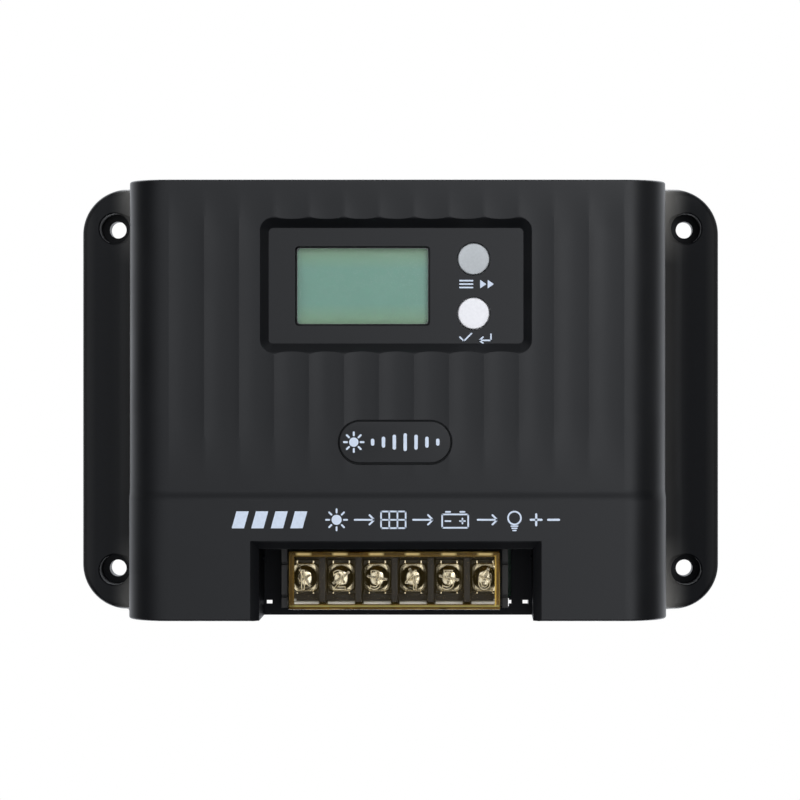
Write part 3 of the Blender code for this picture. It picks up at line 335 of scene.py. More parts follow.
class Nodes:
    """Short calls for building a node tree."""

    def __init__(self, tree):
        self.nodes = tree.nodes
        self.links = tree.links

    def add(self, kind, **settings):
        node = self.nodes.new(kind)
        for key, value in settings.items():
            setattr(node, key, value)
        return node

    def feed(self, socket, value):
        """Links another node's output, or sets a plain value."""
        if isinstance(value, bpy.types.NodeSocket):
            self.links.new(value, socket)
        elif isinstance(value, tuple) and len(value) == 3 and socket.type == "RGBA":
            socket.default_value = (*value, 1.0)
        else:
            socket.default_value = value

    def spread(self, value, to_low, to_high, low=0.3, high=0.7, curve="LINEAR"):
        """Maps low to high onto two values; the default is the middle of a noise's range."""
        node = self.add("ShaderNodeMapRange", interpolation_type=curve)
        names = ("Value", "From Min", "From Max", "To Min", "To Max")
        for name, number in zip(names, (value, low, high, to_low, to_high)):
            self.feed(node.inputs[name], number)
        return node.outputs["Result"]

    def maths(self, operation, first, second=0.5):
        node = self.add("ShaderNodeMath", operation=operation)
        self.feed(node.inputs[0], first)
        self.feed(node.inputs[1], second)
        return node.outputs["Value"]

    def product(self, first, *others):
        for other in others:
            first = self.maths("MULTIPLY", first, other)
        return first

    def total(self, first, *others):
        for other in others:
            first = self.maths("ADD", first, other)
        return first

    def camera_sees(self, shown, elsewhere, surface):
        """One shader for the camera's own rays and another for all the rest."""
        path = self.add("ShaderNodeLightPath")
        mixed = self.add("ShaderNodeMixShader")
        self.feed(mixed.inputs["Fac"], path.outputs["Is Camera Ray"])
        self.feed(mixed.inputs[1], elsewhere)
        self.feed(mixed.inputs[2], shown)
        self.feed(surface, mixed.outputs["Shader"])


class Graph(Nodes):
    """The nodes of one new material, which works in the object's own coordinates."""

    def __init__(self, name):
        self.material = bpy.data.materials.new(name)
        self.material.use_nodes = True
        super().__init__(self.material.node_tree)
        self.shader = self.nodes["Principled BSDF"]
        self.output = self.nodes["Material Output"]
        self.place = self.add("ShaderNodeTexCoord").outputs["Object"]

    def stretched(self, stretch):
        mapping = self.add("ShaderNodeMapping")
        self.feed(mapping.inputs["Vector"], self.place)
        self.feed(mapping.inputs["Scale"], stretch)
        return mapping.outputs["Vector"]

    def noise(self, scale, detail=2.0, stretch=None):
        node = self.add("ShaderNodeTexNoise")
        self.feed(node.inputs["Vector"], self.stretched(stretch) if stretch else self.place)
        self.feed(node.inputs["Scale"], scale)
        self.feed(node.inputs["Detail"], detail)
        return node.outputs["Fac"]

    def blend(self, factor, first, second):
        node = self.add("ShaderNodeMix", data_type="RGBA")
        for name, value in zip(("Factor", "A", "B"), (factor, first, second)):
            self.feed(node.inputs[name], value)
        return node.outputs["Result"]

    def mottle(self, noise, first, second, low=0.3, high=0.7):
        """Two colours in the patches of a noise."""
        return self.blend(self.spread(noise, 0.0, 1.0, low, high), first, second)

    def coordinate(self, axis):
        node = self.add("ShaderNodeSeparateXYZ")
        self.feed(node.inputs["Vector"], self.place)
        return node.outputs[axis]

    def away(self, axis, middle=0.0):
        """The distance from the place where one coordinate is middle."""
        return self.maths("ABSOLUTE", self.maths("SUBTRACT", self.coordinate(axis), middle))

    def rounded_edges(self, radius):
        """A normal that is rounded near edges, and a mask that is 1 on them."""
        soft = self.add("ShaderNodeBevel", samples=4)
        self.feed(soft.inputs["Radius"], radius)
        true = self.add("ShaderNodeNewGeometry").outputs["Normal"]
        facing = self.add("ShaderNodeVectorMath", operation="DOT_PRODUCT")
        self.feed(facing.inputs[0], soft.outputs["Normal"])
        self.feed(facing.inputs[1], true)
        mask = self.spread(facing.outputs["Value"], 1.0, 0.0, 0.80, 0.995)
        return soft.outputs["Normal"], mask

    def bump(self, height, distance, normal=None):
        node = self.add("ShaderNodeBump")
        self.feed(node.inputs["Height"], height)
        self.feed(node.inputs["Distance"], distance)
        self.feed(node.inputs["Strength"], 1.0)
        if normal:
            self.feed(node.inputs["Normal"], normal)
        self.feed(self.shader.inputs["Normal"], node.outputs["Normal"])

    def set(self, **inputs):
        """Sets the shader's inputs, with _ for a space in their names."""
        for name, value in inputs.items():
            self.feed(self.shader.inputs[name.replace("_", " ")], value)


def times(colour, factor):
    """A colour made brighter or darker."""
    return tuple(channel * factor for channel in colour)


def mottled_material(name, noise, colours, roughness, relief=0.0):
    """Paint, ink or raised amber: one noise drives its colour, gloss and relief."""
    g = Graph(name)
    uneven = g.noise(*noise)
    g.set(Base_Color=g.mottle(uneven, *colours), Roughness=g.spread(uneven, *roughness))
    if relief:
        g.bump(uneven, relief * MM)
    return g, uneven


def dust_in_fillets(g):
    """A mask for a painted highlight where the flanges meet the body, most at its ends, and a
    faint one along the flange's outer rim.
    """
    y, beside = g.coordinate("Y"), g.away("X")
    near = g.spread(beside, 1.0, 0.0, BODY_HALF_WIDTH + 1.0 * MM, BODY_HALF_WIDTH + 10.0 * MM)
    outside = g.spread(beside, 0.0, 1.0, BODY_HALF_WIDTH - 0.8 * MM, BODY_HALF_WIDTH - 0.2 * MM)
    in_fillet = g.spread(y, 0.0, 1.0, -26.0 * MM, -17.0 * MM)
    in_front = g.spread(y, 1.0, 0.0, -9.5 * MM, -8.0 * MM)
    ends = g.spread(g.away("Z"), 0.15, 1.0, HALF_HEIGHT - 22.0 * MM, HALF_HEIGHT - 4.0 * MM)
    rim = g.spread(beside, 0.0, 0.06, HALF_WIDTH - 4.0 * MM, HALF_WIDTH - 0.5 * MM)
    fillet_highlight = g.product(near, near, outside, in_front, in_fillet, ends)
    return g.total(fillet_highlight, g.product(rim, in_front))


def inside_bay(g):
    """A mask for the walls and floor of the terminal bay."""
    edge_z = BAY_TOP_Z + BAY_CHAMFER
    label_y = FRONT_Y + STEP_DROP
    across = g.spread(g.away("X", BAY_X), 1.0, 0.0, BAY_HALF_WIDTH, BAY_HALF_WIDTH + BAY_CHAMFER)
    below = g.spread(g.coordinate("Z"), 1.0, 0.0, edge_z - 0.3 * MM, edge_z + 0.1 * MM)
    deep = g.spread(g.coordinate("Y"), 0.0, 1.0, label_y + 0.05 * MM, label_y + 0.45 * MM)
    return g.product(across, below, deep)


def housing_gloss(g, duller):
    """The housing's gloss: less by duller on the flanges, and nearly none in the bay."""
    x, z = g.coordinate("X"), g.coordinate("Z")
    flange_x = BODY_HALF_WIDTH + 3 * MM
    dulled = PLASTIC_GLOSS - duller
    outer = g.spread(g.away("X"), PLASTIC_GLOSS, dulled, flange_x, flange_x + 4 * MM)
    right = g.spread(x, 1.0, 0.50, flange_x, flange_x + 5 * MM)
    side = g.spread(x, 1.0, 0.72, BODY_HALF_WIDTH - 0.5 * MM, BODY_HALF_WIDTH)
    across = g.spread(x, 0.86, 1.13, -BODY_HALF_WIDTH, BODY_HALF_WIDTH)
    upward = g.spread(z, 0.95, 1.09, -HALF_HEIGHT, HALF_HEIGHT)
    shaded = g.total(g.product(inside_bay(g), -0.80), 1.0)
    return g.product(outer, right, side, across, upward, shaded)


def moulded_plastic(name, colour, roughness, grain=0.004, worn=1.7, duller=0.0):
    """Moulded plastic: slow colour drift, spark-eroded grain, and edges polished by handling.

    With duller, it is the housing's plastic, with a painted highlight in its fillets and a gloss
    that varies over it.
    """
    g = Graph(name)
    drift = g.noise(38.0, 3.0)
    speckle = g.noise(1500.0)
    base = g.mottle(drift, times(colour, 0.88), times(colour, 1.12))
    base = g.blend(g.spread(speckle, 0.0, 0.25), base, times(colour, 1.35))
    normal, mask = g.rounded_edges(0.25 * MM)
    base = g.blend(g.product(mask, 0.55), base, times(colour, worn))
    gloss = PLASTIC_GLOSS
    if duller:
        # painted highlight: lighter colour in the flange fillets near the body's ends, and faintly
        # along the flange rim
        base = g.blend(dust_in_fillets(g), base, (0.26, 0.25, 0.23))
        gloss = housing_gloss(g, duller)
    rough = g.total(g.spread(drift, roughness - 0.04, roughness + 0.05), g.product(mask, -0.10))
    g.set(Base_Color=base, Roughness=rough, Specular_IOR_Level=gloss)
    g.bump(g.noise(2600.0), grain * MM, normal)
    return g.material


def contact_material(name):
    """Tinned brass: bright on the lip below the clamps, and coloured dark as painted shade behind
    them, where the clamps cover it.
    """
    g = Graph(name)
    patches = g.noise(260.0, 4.0)
    lip_top_z = -56.4 * MM
    behind = g.spread(g.coordinate("Z"), 0.0, 1.0, lip_top_z - 0.2 * MM, lip_top_z + 0.2 * MM)
    lip = g.mottle(patches, (1.0, 0.94, 0.79), (0.90, 0.84, 0.70))
    # painted shade: the tin behind the clamps is coloured dark
    shaded_tin = g.mottle(patches, (0.075, 0.068, 0.050), (0.055, 0.048, 0.036))
    g.set(Base_Color=g.blend(behind, lip, shaded_tin), Roughness=g.spread(patches, 0.50, 0.62))
    g.bump(patches, 0.006 * MM)
    return g.material


def washer_material(name):
    """Plate coloured dark as painted shade, with a painted highlight on the ring where it falls
    away outside the screw head.
    """
    g = Graph(name)
    patches = g.noise(300.0, 4.0)
    # painted shade: the plate's colour is kept dark
    base = g.mottle(patches, (0.26, 0.22, 0.14), (0.17, 0.145, 0.09), 0.35, 0.75)
    phase = g.maths("SUBTRACT", g.coordinate("X"), POLE_XS[0])
    beside = g.maths("PINGPONG", phase, POLE_PITCH / 2)
    above = g.maths("SUBTRACT", g.coordinate("Z"), SCREW_Z)
    outward = g.maths("SQRT", g.total(g.product(beside, beside), g.product(above, above)))
    # painted highlight on the ring outside the screw head
    rim_highlight = g.spread(outward, 0.0, 1.0, 3.4 * MM, 4.0 * MM)
    g.set(Base_Color=g.blend(rim_highlight, base, (0.84, 0.71, 0.46)))
    g.set(Metallic=1.0, Roughness=g.spread(patches, 0.16, 0.26))
    g.bump(patches, 0.002 * MM)
    return g.material


def bright_metal(name, colour, roughness, stretch=(1.0, 1.0, 1.0), scratch=0.006, tarnish=0.75):
    """Plated or machined metal: tarnish in patches, fine scratches along one way."""
    g = Graph(name)
    patches = g.noise(260.0, 4.0)
    lines = g.noise(900.0, 3.0, stretch)
    base = g.mottle(patches, colour, times(colour, tarnish), 0.35, 0.75)
    normal, mask = g.rounded_edges(0.12 * MM)
    base = g.blend(g.product(mask, 0.35), base, times(colour, 1.15))
    rough = g.total(g.spread(lines, -0.05, 0.07), g.spread(patches, roughness, roughness + 0.1))
    g.set(Base_Color=base, Metallic=1.0, Roughness=rough)
    g.bump(lines, scratch * MM, normal)
    return g.material


def ink(name, colour):
    """Pad-printed ink: a little uneven, with a slight film of its own."""
    colours = (times(colour, 0.90), colour)
    return mottled_material(name, (1100.0, 3.0), colours, (0.42, 0.55), 0.01)[0].material


def amber_cover_material(name):
    """Clear amber polycarbonate: pale through the thin front, strong where walls stand edge-on,
    with painted highlights and painted shade on the walls.
    """
    g = Graph(name)
    low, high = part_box("terminal_cover")
    x, z = g.coordinate("X"), g.coordinate("Z")
    wall = 1.5 * MM
    nearest = g.maths("MINIMUM", *(
        g.maths("SUBTRACT", (end - start) / 2, g.away(axis, (start + end) / 2))
        for axis, start, end in (("X", low.x, high.x), ("Z", low.z, high.z))
    ))
    walls = g.spread(nearest, 1.0, 0.0, wall - 0.1 * MM, wall + 0.1 * MM)
    haze = g.noise(300.0, 3.0)
    streaks = g.noise(420.0, 3.0, (0.25, 1.0, 0.25))
    normal, rim = g.rounded_edges(0.2 * MM)

    # a painted glint over each pole in the top wall
    phase = g.maths("SUBTRACT", x, POLE_XS[0])
    ripple = g.maths("COSINE", g.product(phase, 2 * math.pi / POLE_PITCH))
    above = g.spread(z, 0.0, 1.0, high.z - 1.15 * MM, high.z - 0.95 * MM)
    below = g.spread(z, 1.0, 0.0, high.z - 0.45 * MM, high.z - 0.30 * MM)
    glint = g.product(g.spread(ripple, 0.0, 1.0, 0.1, 0.6), above, below)

    # painted highlights: bright lines along the inside and outside of the walls, stronger on the
    # right, and one under the poles; painted shade on the left side
    inner_line = g.spread(nearest, 0.0, 1.0, wall - 0.55 * MM, wall - 0.30 * MM)
    right_side = g.spread(x, 0.0, 1.0, high.x - 1.8 * MM, high.x - 1.5 * MM)
    lit = g.product(g.total(g.product(right_side, 0.8), 0.1), inner_line)
    outer_line = g.spread(nearest, 1.0, 0.0, 0.22 * MM, 0.40 * MM)
    outer_highlight = g.product(outer_line, g.spread(streaks, 0.0, 0.50, 0.42, 0.62))
    under = g.product(
        g.spread(z, 1.0, 0.0, low.z + 1.15 * MM, low.z + 1.30 * MM),
        g.spread(z, 0.0, 1.0, low.z + 0.75 * MM, low.z + 0.90 * MM),
        0.75,
    )
    left_shade = g.spread(x, 0.55, 0.0, low.x + 1.0 * MM, low.x + 1.8 * MM)

    # the walls' tone, with painted highlights, a painted glint, painted rim highlights and painted
    # shade blended over it
    tone = g.mottle(haze, (0.045, 0.019, 0.0015), (0.11, 0.050, 0.004))
    for share, colour in (
        (lit, (0.62, 0.40, 0.08)),
        (outer_highlight, (0.60, 0.42, 0.13)),
        (under, (0.34, 0.32, 0.10)),
        (glint, (0.95, 0.72, 0.30)),
        (left_shade, (0.030, 0.014, 0.001)),
        (g.product(rim, 0.16), (0.95, 0.75, 0.35)),
    ):
        tone = g.blend(share, tone, colour)
    g.set(
        Base_Color=g.blend(walls, (0.10, 0.065, 0.012), tone),
        Roughness=g.spread(haze, 0.10, 0.20),
        Alpha=g.maths("MAXIMUM", g.spread(walls, 0.08, 0.90, 0.0, 1.0), g.product(rim, 0.4)),
        Specular_IOR_Level=0.35,
        Specular_Tint=(1.0, 0.72, 0.30),
    )
    g.bump(g.noise(180.0), 0.02 * MM, normal)
    return g.material


def numeral_material(name):
    """The raised outlines of the numerals, coloured bright as a painted highlight where the amber
    catches the light.
    """
    colours = ((0.62, 0.49, 0.26), (0.90, 0.76, 0.48))
    g, uneven = mottled_material(name, (700.0,), colours, (0.14, 0.24))
    g.set(Alpha=g.spread(uneven, 0.70, 0.95))
    return g.material


def outside_window(g, margin):
    """1 beyond the display window's outline drawn in by margin, 0 inside it."""
    low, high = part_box("lcd_window")
    corner = 1.0 * MM
    squares = []
    for axis, start, end in (("X", low.x, high.x), ("Z", low.z, high.z)):
        straight = (end - start) / 2 - margin - corner
        past = g.maths("SUBTRACT", g.away(axis, (start + end) / 2), straight)
        past = g.maths("MAXIMUM", past, 0.0)
        squares.append(g.product(past, past))
    far = g.maths("SQRT", g.total(*squares))
    return g.spread(far, 0.0, 1.0, corner - 0.05 * MM, corner + 0.05 * MM)


def window_material(name):
    """The thin clear window, a little dusty, with a black border printed behind its edge."""
    g = Graph(name)
    dust = g.noise(900.0, 4.0)
    border = outside_window(g, 0.22 * MM)
    g.set(
        Base_Color=g.blend(border, (0.75, 0.85, 0.80), PRINTED_BLACK),
        Roughness=g.spread(dust, 0.06, 0.14),
        Alpha=g.maths("MAXIMUM", g.spread(dust, 0.04, 0.08), border),
        IOR=1.45,
    )
    return g.material


def lcd_material(name):
    """Unpowered display: teal in the middle, yellower near the long edges, black bezel."""
    g = Graph(name)
    low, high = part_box("lcd_window")
    half = (high.z - low.z) / 2
    edge = g.spread(g.away("Z", (low.z + high.z) / 2), 0.0, 1.0, half * 0.45, half)
    drift = g.noise(60.0)
    base = g.mottle(drift, (0.094, 0.262, 0.186), (0.104, 0.278, 0.198))
    base = g.blend(edge, base, (0.150, 0.290, 0.138))
    left = g.spread(g.coordinate("X"), 0.35, 0.0, low.x + 0.6 * MM, low.x + 1.3 * MM)
    base = g.blend(left, base, (0.20, 0.38, 0.28))
    base = g.blend(outside_window(g, 0.05 * MM), base, PRINTED_BLACK)
    g.set(Base_Color=base, Roughness=g.spread(drift, 0.34, 0.42))
    g.bump(drift, 0.02 * MM)
    return g.material


def circuit_board_material(name):
    """Green solder mask over copper tracks, with tinned vias."""
    g = Graph(name)
    tracks = g.add("ShaderNodeTexBrick", offset=0.37, squash=1.0)
    for socket, value in (
        ("Vector", g.place),
        ("Scale", 140.0),
        ("Mortar Size", 0.035),
        ("Color1", (0.012, 0.085, 0.035)),
        ("Color2", (0.014, 0.100, 0.040)),
        ("Mortar", (0.035, 0.190, 0.075)),
    ):
        g.feed(tracks.inputs[socket], value)
    vias = g.add("ShaderNodeTexVoronoi")
    g.feed(vias.inputs["Vector"], g.place)
    g.feed(vias.inputs["Scale"], 190.0)
    via = g.spread(vias.outputs["Distance"], 1.0, 0.0, 0.09, 0.13)
    g.set(
        Base_Color=g.blend(via, tracks.outputs["Color"], (0.60, 0.58, 0.50)),
        Roughness=g.spread(g.noise(700.0), 0.28, 0.42),
        Metallic=g.product(via, 0.8),
    )
    g.bump(tracks.outputs["Fac"], 0.03 * MM)
    return g.material


def ribbed_material(name, colour, dark, ribs_scale, roughness):
    """Ribbon cable: fine parallel ribs, with painted shade in the grooves between them."""
    g = Graph(name)
    ribs = g.add("ShaderNodeTexWave", wave_type="BANDS", bands_direction="X")
    g.feed(ribs.inputs["Vector"], g.place)
    g.feed(ribs.inputs["Scale"], ribs_scale)
    # painted shade: the dark colour follows the grooves of the ribs
    g.set(Base_Color=g.blend(ribs.outputs["Fac"], dark, colour))
    g.set(Roughness=g.spread(g.noise(500.0), roughness - 0.05, roughness + 0.08))
    g.bump(ribs.outputs["Fac"], 0.15 * MM)
    return g.material


def striped_sleeve_material(name):
    """Capacitor sleeve: near-black film with a pale polarity stripe down one side."""
    g = Graph(name)
    wave = g.maths("SINE", g.product(g.coordinate("X"), 2 * math.pi / (18.0 * MM)))
    stripe = g.spread(wave, 0.0, 1.0, 0.955, 0.97)
    drift = g.noise(200.0, 3.0)
    dark = g.mottle(drift, (0.020, 0.022, 0.035), (0.034, 0.036, 0.055))
    g.set(Base_Color=g.blend(stripe, dark, (0.55, 0.56, 0.56)))
    g.set(Roughness=g.spread(drift, 0.26, 0.38))
    g.bump(drift, 0.02 * MM)
    return g.material


def powder_core_material(name):
    """Painted iron-powder core: two-tone enamel over a coarse surface."""
    colours = ((0.46, 0.36, 0.06), (0.62, 0.52, 0.14))
    return mottled_material(name, (900.0, 4.0), colours, (0.45, 0.62), 0.06)[0].material


def soft_material(name, colour, roughness):
    """Silicone or white diffuser: matt, with a faint cloudiness."""
    g = Graph(name)
    cloud = g.noise(150.0, 4.0)
    g.set(Base_Color=g.mottle(cloud, times(colour, 0.86), times(colour, 1.08)))
    g.set(Roughness=g.spread(cloud, roughness - 0.06, roughness + 0.06))
    g.bump(g.noise(1800.0), 0.01 * MM)
    return g.material


# ---------------------------------------------------------------- the housing


def smooth_step(value):
    """0 to 1 with level ends, for a value from 0 to 1."""
    t = min(1.0, max(0.0, value))
    return t * t * (3 - 2 * t)


def flute_strength(z):
    """1 along the middle of the flutes, falling to 0 at the top edge and above the step."""
    if z > FLUTE_FULL_TOP_Z:
        return smooth_step((HALF_HEIGHT - z) / (HALF_HEIGHT - FLUTE_FULL_TOP_Z))
    return smooth_step((z - FLUTE_END_Z) / (FLUTE_FADE_START_Z - FLUTE_END_Z))


def step_strength(z):
    """0 on the fluted front, 1 on the label strip below the step."""
    return smooth_step((FLUTE_END_Z - z) / (FLUTE_END_Z - STEP_END_Z))


def flange_half_width(z):
    """The flange's outline at height z."""
    into = min(max(abs(z) - (HALF_HEIGHT - FLANGE_CORNER_RADIUS), 0.0), FLANGE_CORNER_RADIUS)
    return HALF_WIDTH - FLANGE_CORNER_RADIUS + math.sqrt(FLANGE_CORNER_RADIUS**2 - into**2)


def flange_face_y(x, z):
    """The flange's front face, which falls back near the outline."""
    across = abs(x) - (HALF_WIDTH - FLANGE_CORNER_RADIUS)
    up = abs(z) - (HALF_HEIGHT - FLANGE_CORNER_RADIUS)
    if across > 0 and up > 0:
        inside = FLANGE_CORNER_RADIUS - math.hypot(across, up)
    else:
        inside = min(HALF_WIDTH - abs(x), HALF_HEIGHT - abs(z))
    short = FLANGE_EDGE_ROUND - min(max(inside, 0.0), FLANGE_EDGE_ROUND)
    return -FLANGE_THICKNESS + FLANGE_EDGE_ROUND - math.sqrt(FLANGE_EDGE_ROUND**2 - short**2)


def end_inset(z):
    """How far the rounded top and bottom edges draw the body in."""
    into = max(abs(z) - (HALF_HEIGHT - END_ROUND), 0.0)
    return END_ROUND - math.sqrt(max(END_ROUND**2 - into**2, 0.0))


def body_section(z):
    """The housing's outline at height z, closed by the straight back edge."""
    inset = end_inset(z)
    half_width = BODY_HALF_WIDTH + LABEL_EXTRA_HALF_WIDTH * step_strength(z)
    front_y = FRONT_Y + STEP_DROP * step_strength(z)
    flute_depth = FLUTE_DEPTH * flute_strength(z)
    front = []
    for i in range(FLUTES * FLUTE_SAMPLES + 1):
        flute, sample = divmod(i, FLUTE_SAMPLES)
        across = sample / FLUTE_SAMPLES
        hollow = 1 - (2 * across - 1) ** 2
        x = (flute - FLUTES / 2 + across) * FLUTE_PITCH
        front.append((x, front_y + flute_depth * hollow + inset))
    shoulder_centre = (half_width - SHOULDER_RADIUS, front_y + SHOULDER_RADIUS)
    right = arc(shoulder_centre, SHOULDER_RADIUS - inset, 270, 360, steps=18)[:-1]
    fillet_x = half_width + FILLET_RADIUS
    flat_end = HALF_WIDTH - FLANGE_EDGE_ROUND
    spread = [u for u, v in arc((fillet_x, 0.0), FILLET_RADIUS, 180, 90, steps=16)]
    spread += [fillet_x + (flat_end - fillet_x) * i / 2 for i in (1, 2)]
    spread += [u for u, v in arc((flat_end, 0.0), FLANGE_EDGE_ROUND, 90, 0, steps=8)[1:]]
    start = half_width - inset
    outer_x = flange_half_width(z)
    scale = (outer_x - start) / (HALF_WIDTH - half_width)
    for full_x in spread:
        x = start + (full_x - half_width) * scale
        y = flange_face_y(x, z)
        if x < fillet_x:
            reach = (FILLET_RADIUS + inset) ** 2 - (fillet_x - x) ** 2
            y -= max(0.0, FILLET_RADIUS - math.sqrt(max(reach, 0.0)))
        right.append((x, y))
    right.append((outer_x, 0.0))
    left = [(-x, y) for x, y in reversed(right)]
    return [(x, y, z) for x, y in left + front + right]


def housing_rows():
    """Heights for the housing's sections, close together wherever the outline changes."""
    ends = []
    for radius, steps in ((FLANGE_CORNER_RADIUS, 26), (END_ROUND, 5), (FLANGE_EDGE_ROUND, 8)):
        ends += [v for u, v in arc((0.0, HALF_HEIGHT - radius), radius, 90, 0, steps)]
    rows = ends + [-z for z in ends] + [FLUTE_FULL_TOP_Z]
    for start, end, steps in (
        (FLUTE_FADE_START_Z, FLUTE_END_Z, 14),
        (FLUTE_END_Z, STEP_END_Z, 10),
    ):
        rows += [start + (end - start) * i / steps for i in range(steps + 1)]
    rows.sort(reverse=True)
    kept = [rows[0]]
    for z in rows[1:]:
        if kept[-1] - z > CLOSEST_ROWS:
            kept.append(z)
    kept[-1] = -HALF_HEIGHT
    return kept


def housing_body():
    """The fluted body and its flanges, with rounded top and bottom edges."""
    return loft("housing", [body_section(z) for z in housing_rows()], flat=True)


def housing_hollows():
    """The main cavity and the pockets behind the two flanges."""
    half_width = BODY_HALF_WIDTH - WALL
    top = HALF_HEIGHT - WALL
    corner = SHOULDER_RADIUS - WALL
    right = arc((half_width - corner, INNER_FRONT_Y + corner), corner, 270, 360, 8)
    right.append((half_width, PAST))
    outline = [(-x, y) for x, y in reversed(right)] + right
    tools = [loft("cavity", [[(x, y, z) for x, y in outline] for z in (top, -top)])]
    near = BODY_HALF_WIDTH + WALL
    far = HALF_WIDTH - WALL
    for side in (-1, 1):
        loops = [
            rounded_outline(
                side * (near + far) / 2, 0.0, (far - near) / 2,
                FLANGE_POCKET_HALF_HEIGHT, FLANGE_POCKET_CORNER, y, 6,
            )
            for y in (-FLANGE_THICKNESS + WALL, PAST)
        ]
        tools.append(loft(f"pocket_{side}", loops))
    return tools


def mount_places():
    """The four mounting holes, as (x, z)."""
    return [(side * MOUNT_X, end * MOUNT_Z) for side in (-1, 1) for end in (-1, 1)]


def inner_solids():
    """Bosses, the panel's backing, the walls of the terminal bay, columns and posts."""
    boss_front_y = -FLANGE_THICKNESS + PAST
    solids = [rod("boss", x, z, boss_front_y, 0.0, BOSS_RADIUS) for x, z in mount_places()]
    into_front_y = INNER_FRONT_Y - 1.2 * MM
    backing = (
        (RECESS_X - BACKING_HALF[0], RECESS_X + BACKING_HALF[0]),
        (into_front_y, PANEL_BACK_Y),
        (RECESS_Z - BACKING_HALF[1], RECESS_Z + BACKING_HALF[1]),
    )
    bay_shell = (
        (BAY_X - BAY_HALF_WIDTH - WALL, BAY_X + BAY_HALF_WIDTH + WALL),
        (into_front_y, BAY_FLOOR_Y + WALL),
        (-HALF_HEIGHT + PAST, BAY_TOP_Z + WALL),
    )
    solids += [box("inner_wall", *zip(*spans)) for spans in (backing, bay_shell)]
    column_front_y = INNER_FRONT_Y - GAP
    column_back_y = COLUMN_SEAT_Y - GAP
    post_front_y = PANEL_BACK_Y - PAST
    post_back_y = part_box("display_board")[0].y - GAP
    solids += rods_at("housing_screw", 4, column_front_y, column_back_y, COLUMN_RADIUS)
    solids += rods_at("display_screw", 2, post_front_y, post_back_y, POST_RADIUS)
    return solids


def rods_at(node, count, front_y, back_y, radius):
    """A rod on the axis of each of a group of numbered nodes."""
    places = [centre_of(name) for name in numbered(node, count)]
    return [rod("rod", place.x, place.z, front_y, back_y, radius) for place in places]


def recess_cutter():
    """The display recess: a rounded lip, walls at 45 degrees and a tight corner at the floor."""
    lip = RECESS_LIP_ROUND
    tangent = lip * math.tan(math.radians(22.5))
    rows = [(tangent, OUTSIDE_Y)]
    for i in range(6):
        turn = math.radians(45 * i / 5)
        depth = 0.02 * MM + lip * (1 - math.cos(turn))
        rows.append((tangent - lip * math.sin(turn), FRONT_Y + depth))
    rows.append((-RECESS_DEPTH, FRONT_Y + RECESS_DEPTH))
    loops = []
    for outward, y in rows:
        share = (outward + RECESS_DEPTH) / (tangent + RECESS_DEPTH)
        corner = RECESS_FLOOR_CORNER + (RECESS_CORNER - RECESS_FLOOR_CORNER) * share
        half_x, half_z = (half + outward for half in RECESS_HALF)
        loops.append(rounded_outline(RECESS_X, RECESS_Z, half_x, half_z, corner, y))
    return loft("recess", loops)


def outline_cutter(name, node, widen, corner, back_y):
    """A straight cutter round a CAD node's outline, from in front of the housing."""
    low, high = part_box(node)
    loops = [plate_outline(low, high, widen, corner, y, 12) for y in (OUTSIDE_Y, back_y)]
    return loft(name, loops)


def front_openings():
    """Cutters for the recess, window, button holes, badge, terminal bay and mounting holes."""
    behind_y = PANEL_BACK_Y + 2 * PAST
    tools = [recess_cutter(), outline_cutter("window", "lcd_window", GAP, 1.0 * MM, behind_y)]
    for node in ("select_button", "enter_button"):
        place = centre_of(node)
        tools.append(
            rod("button_hole", place.x, place.z, OUTSIDE_Y, behind_y, BUTTON_HOLE_RADIUS, 64)
        )
    badge_low, badge_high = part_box("badge_plaque")
    corner = (badge_high.z - badge_low.z) / 2 + GAP - TINY_RADIUS
    for drop in (0.0, BADGE_SHADOW_DROP):
        shrink = drop / 4
        pocket = outline_cutter(
            "badge_pocket", "badge_plaque", GAP - shrink, corner - shrink, badge_high.y + GAP
        )
        pocket.location.z = -drop
        tools.append(pocket)
    bay = bay_cutter()
    combine(bay, "DIFFERENCE", bay_studs())
    tools.append(bay)
    tools += bay_floor_openings()
    tools += [mount_cutter("mount", x, z) for x, z in mount_places()]
    return tools


def bay_floor_openings():
    """Cutters through the bay's floor: the block, gaps beside it, latch slots, drain notches."""
    low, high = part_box("terminal_block")
    in_front = BAY_FLOOR_Y - 2 * PAST
    block_depth = (in_front, high.y + GAP)
    latch_depth = (in_front, BAY_FLOOR_Y + WALL + PAST)
    drain_depth = (BAY_FLOOR_Y + 2.0 * MM, PAST)
    block_z = (low.z - GAP, high.z + GAP)
    gap_z = (-55.8 * MM, -41.4 * MM)
    slot_z = (-58.0 * MM, -56.9 * MM)
    drain_z = (-62.1 * MM, -56.5 * MM)
    beside_block = (high.x - GAP, high.x + 1.0 * MM)
    openings = (
        ((low.x - GAP, high.x + GAP), block_depth, block_z),
        (beside_block, block_depth, gap_z),
        (beside_block, block_depth, slot_z),
        ((-37.6 * MM, -35.9 * MM), latch_depth, slot_z),
        ((35.2 * MM, 36.9 * MM), latch_depth, slot_z),
        ((-39.8 * MM, -35.2 * MM), drain_depth, drain_z),
        ((30.8 * MM, 37.2 * MM), drain_depth, drain_z),
    )
    return [box("bay_floor_opening", *zip(*spans)) for spans in openings]


def bay_cutter():
    """The terminal bay, open at the bottom, with a chamfer round its mouth."""
    label_y = FRONT_Y + STEP_DROP
    beyond = 2.0 * MM
    bottom = -HALF_HEIGHT - SHOULDER_RADIUS
    loops = []
    for y, widen in (
        (label_y - beyond, BAY_CHAMFER + beyond),
        (label_y + BAY_CHAMFER, 0.0),
        (BAY_FLOOR_Y, 0.0),
    ):
        left = BAY_X - BAY_HALF_WIDTH - widen
        right = BAY_X + BAY_HALF_WIDTH + widen
        top = BAY_TOP_Z + widen
        loops.append([(left, y, bottom), (right, y, bottom), (right, y, top), (left, y, top)])
    return loft("bay", loops)


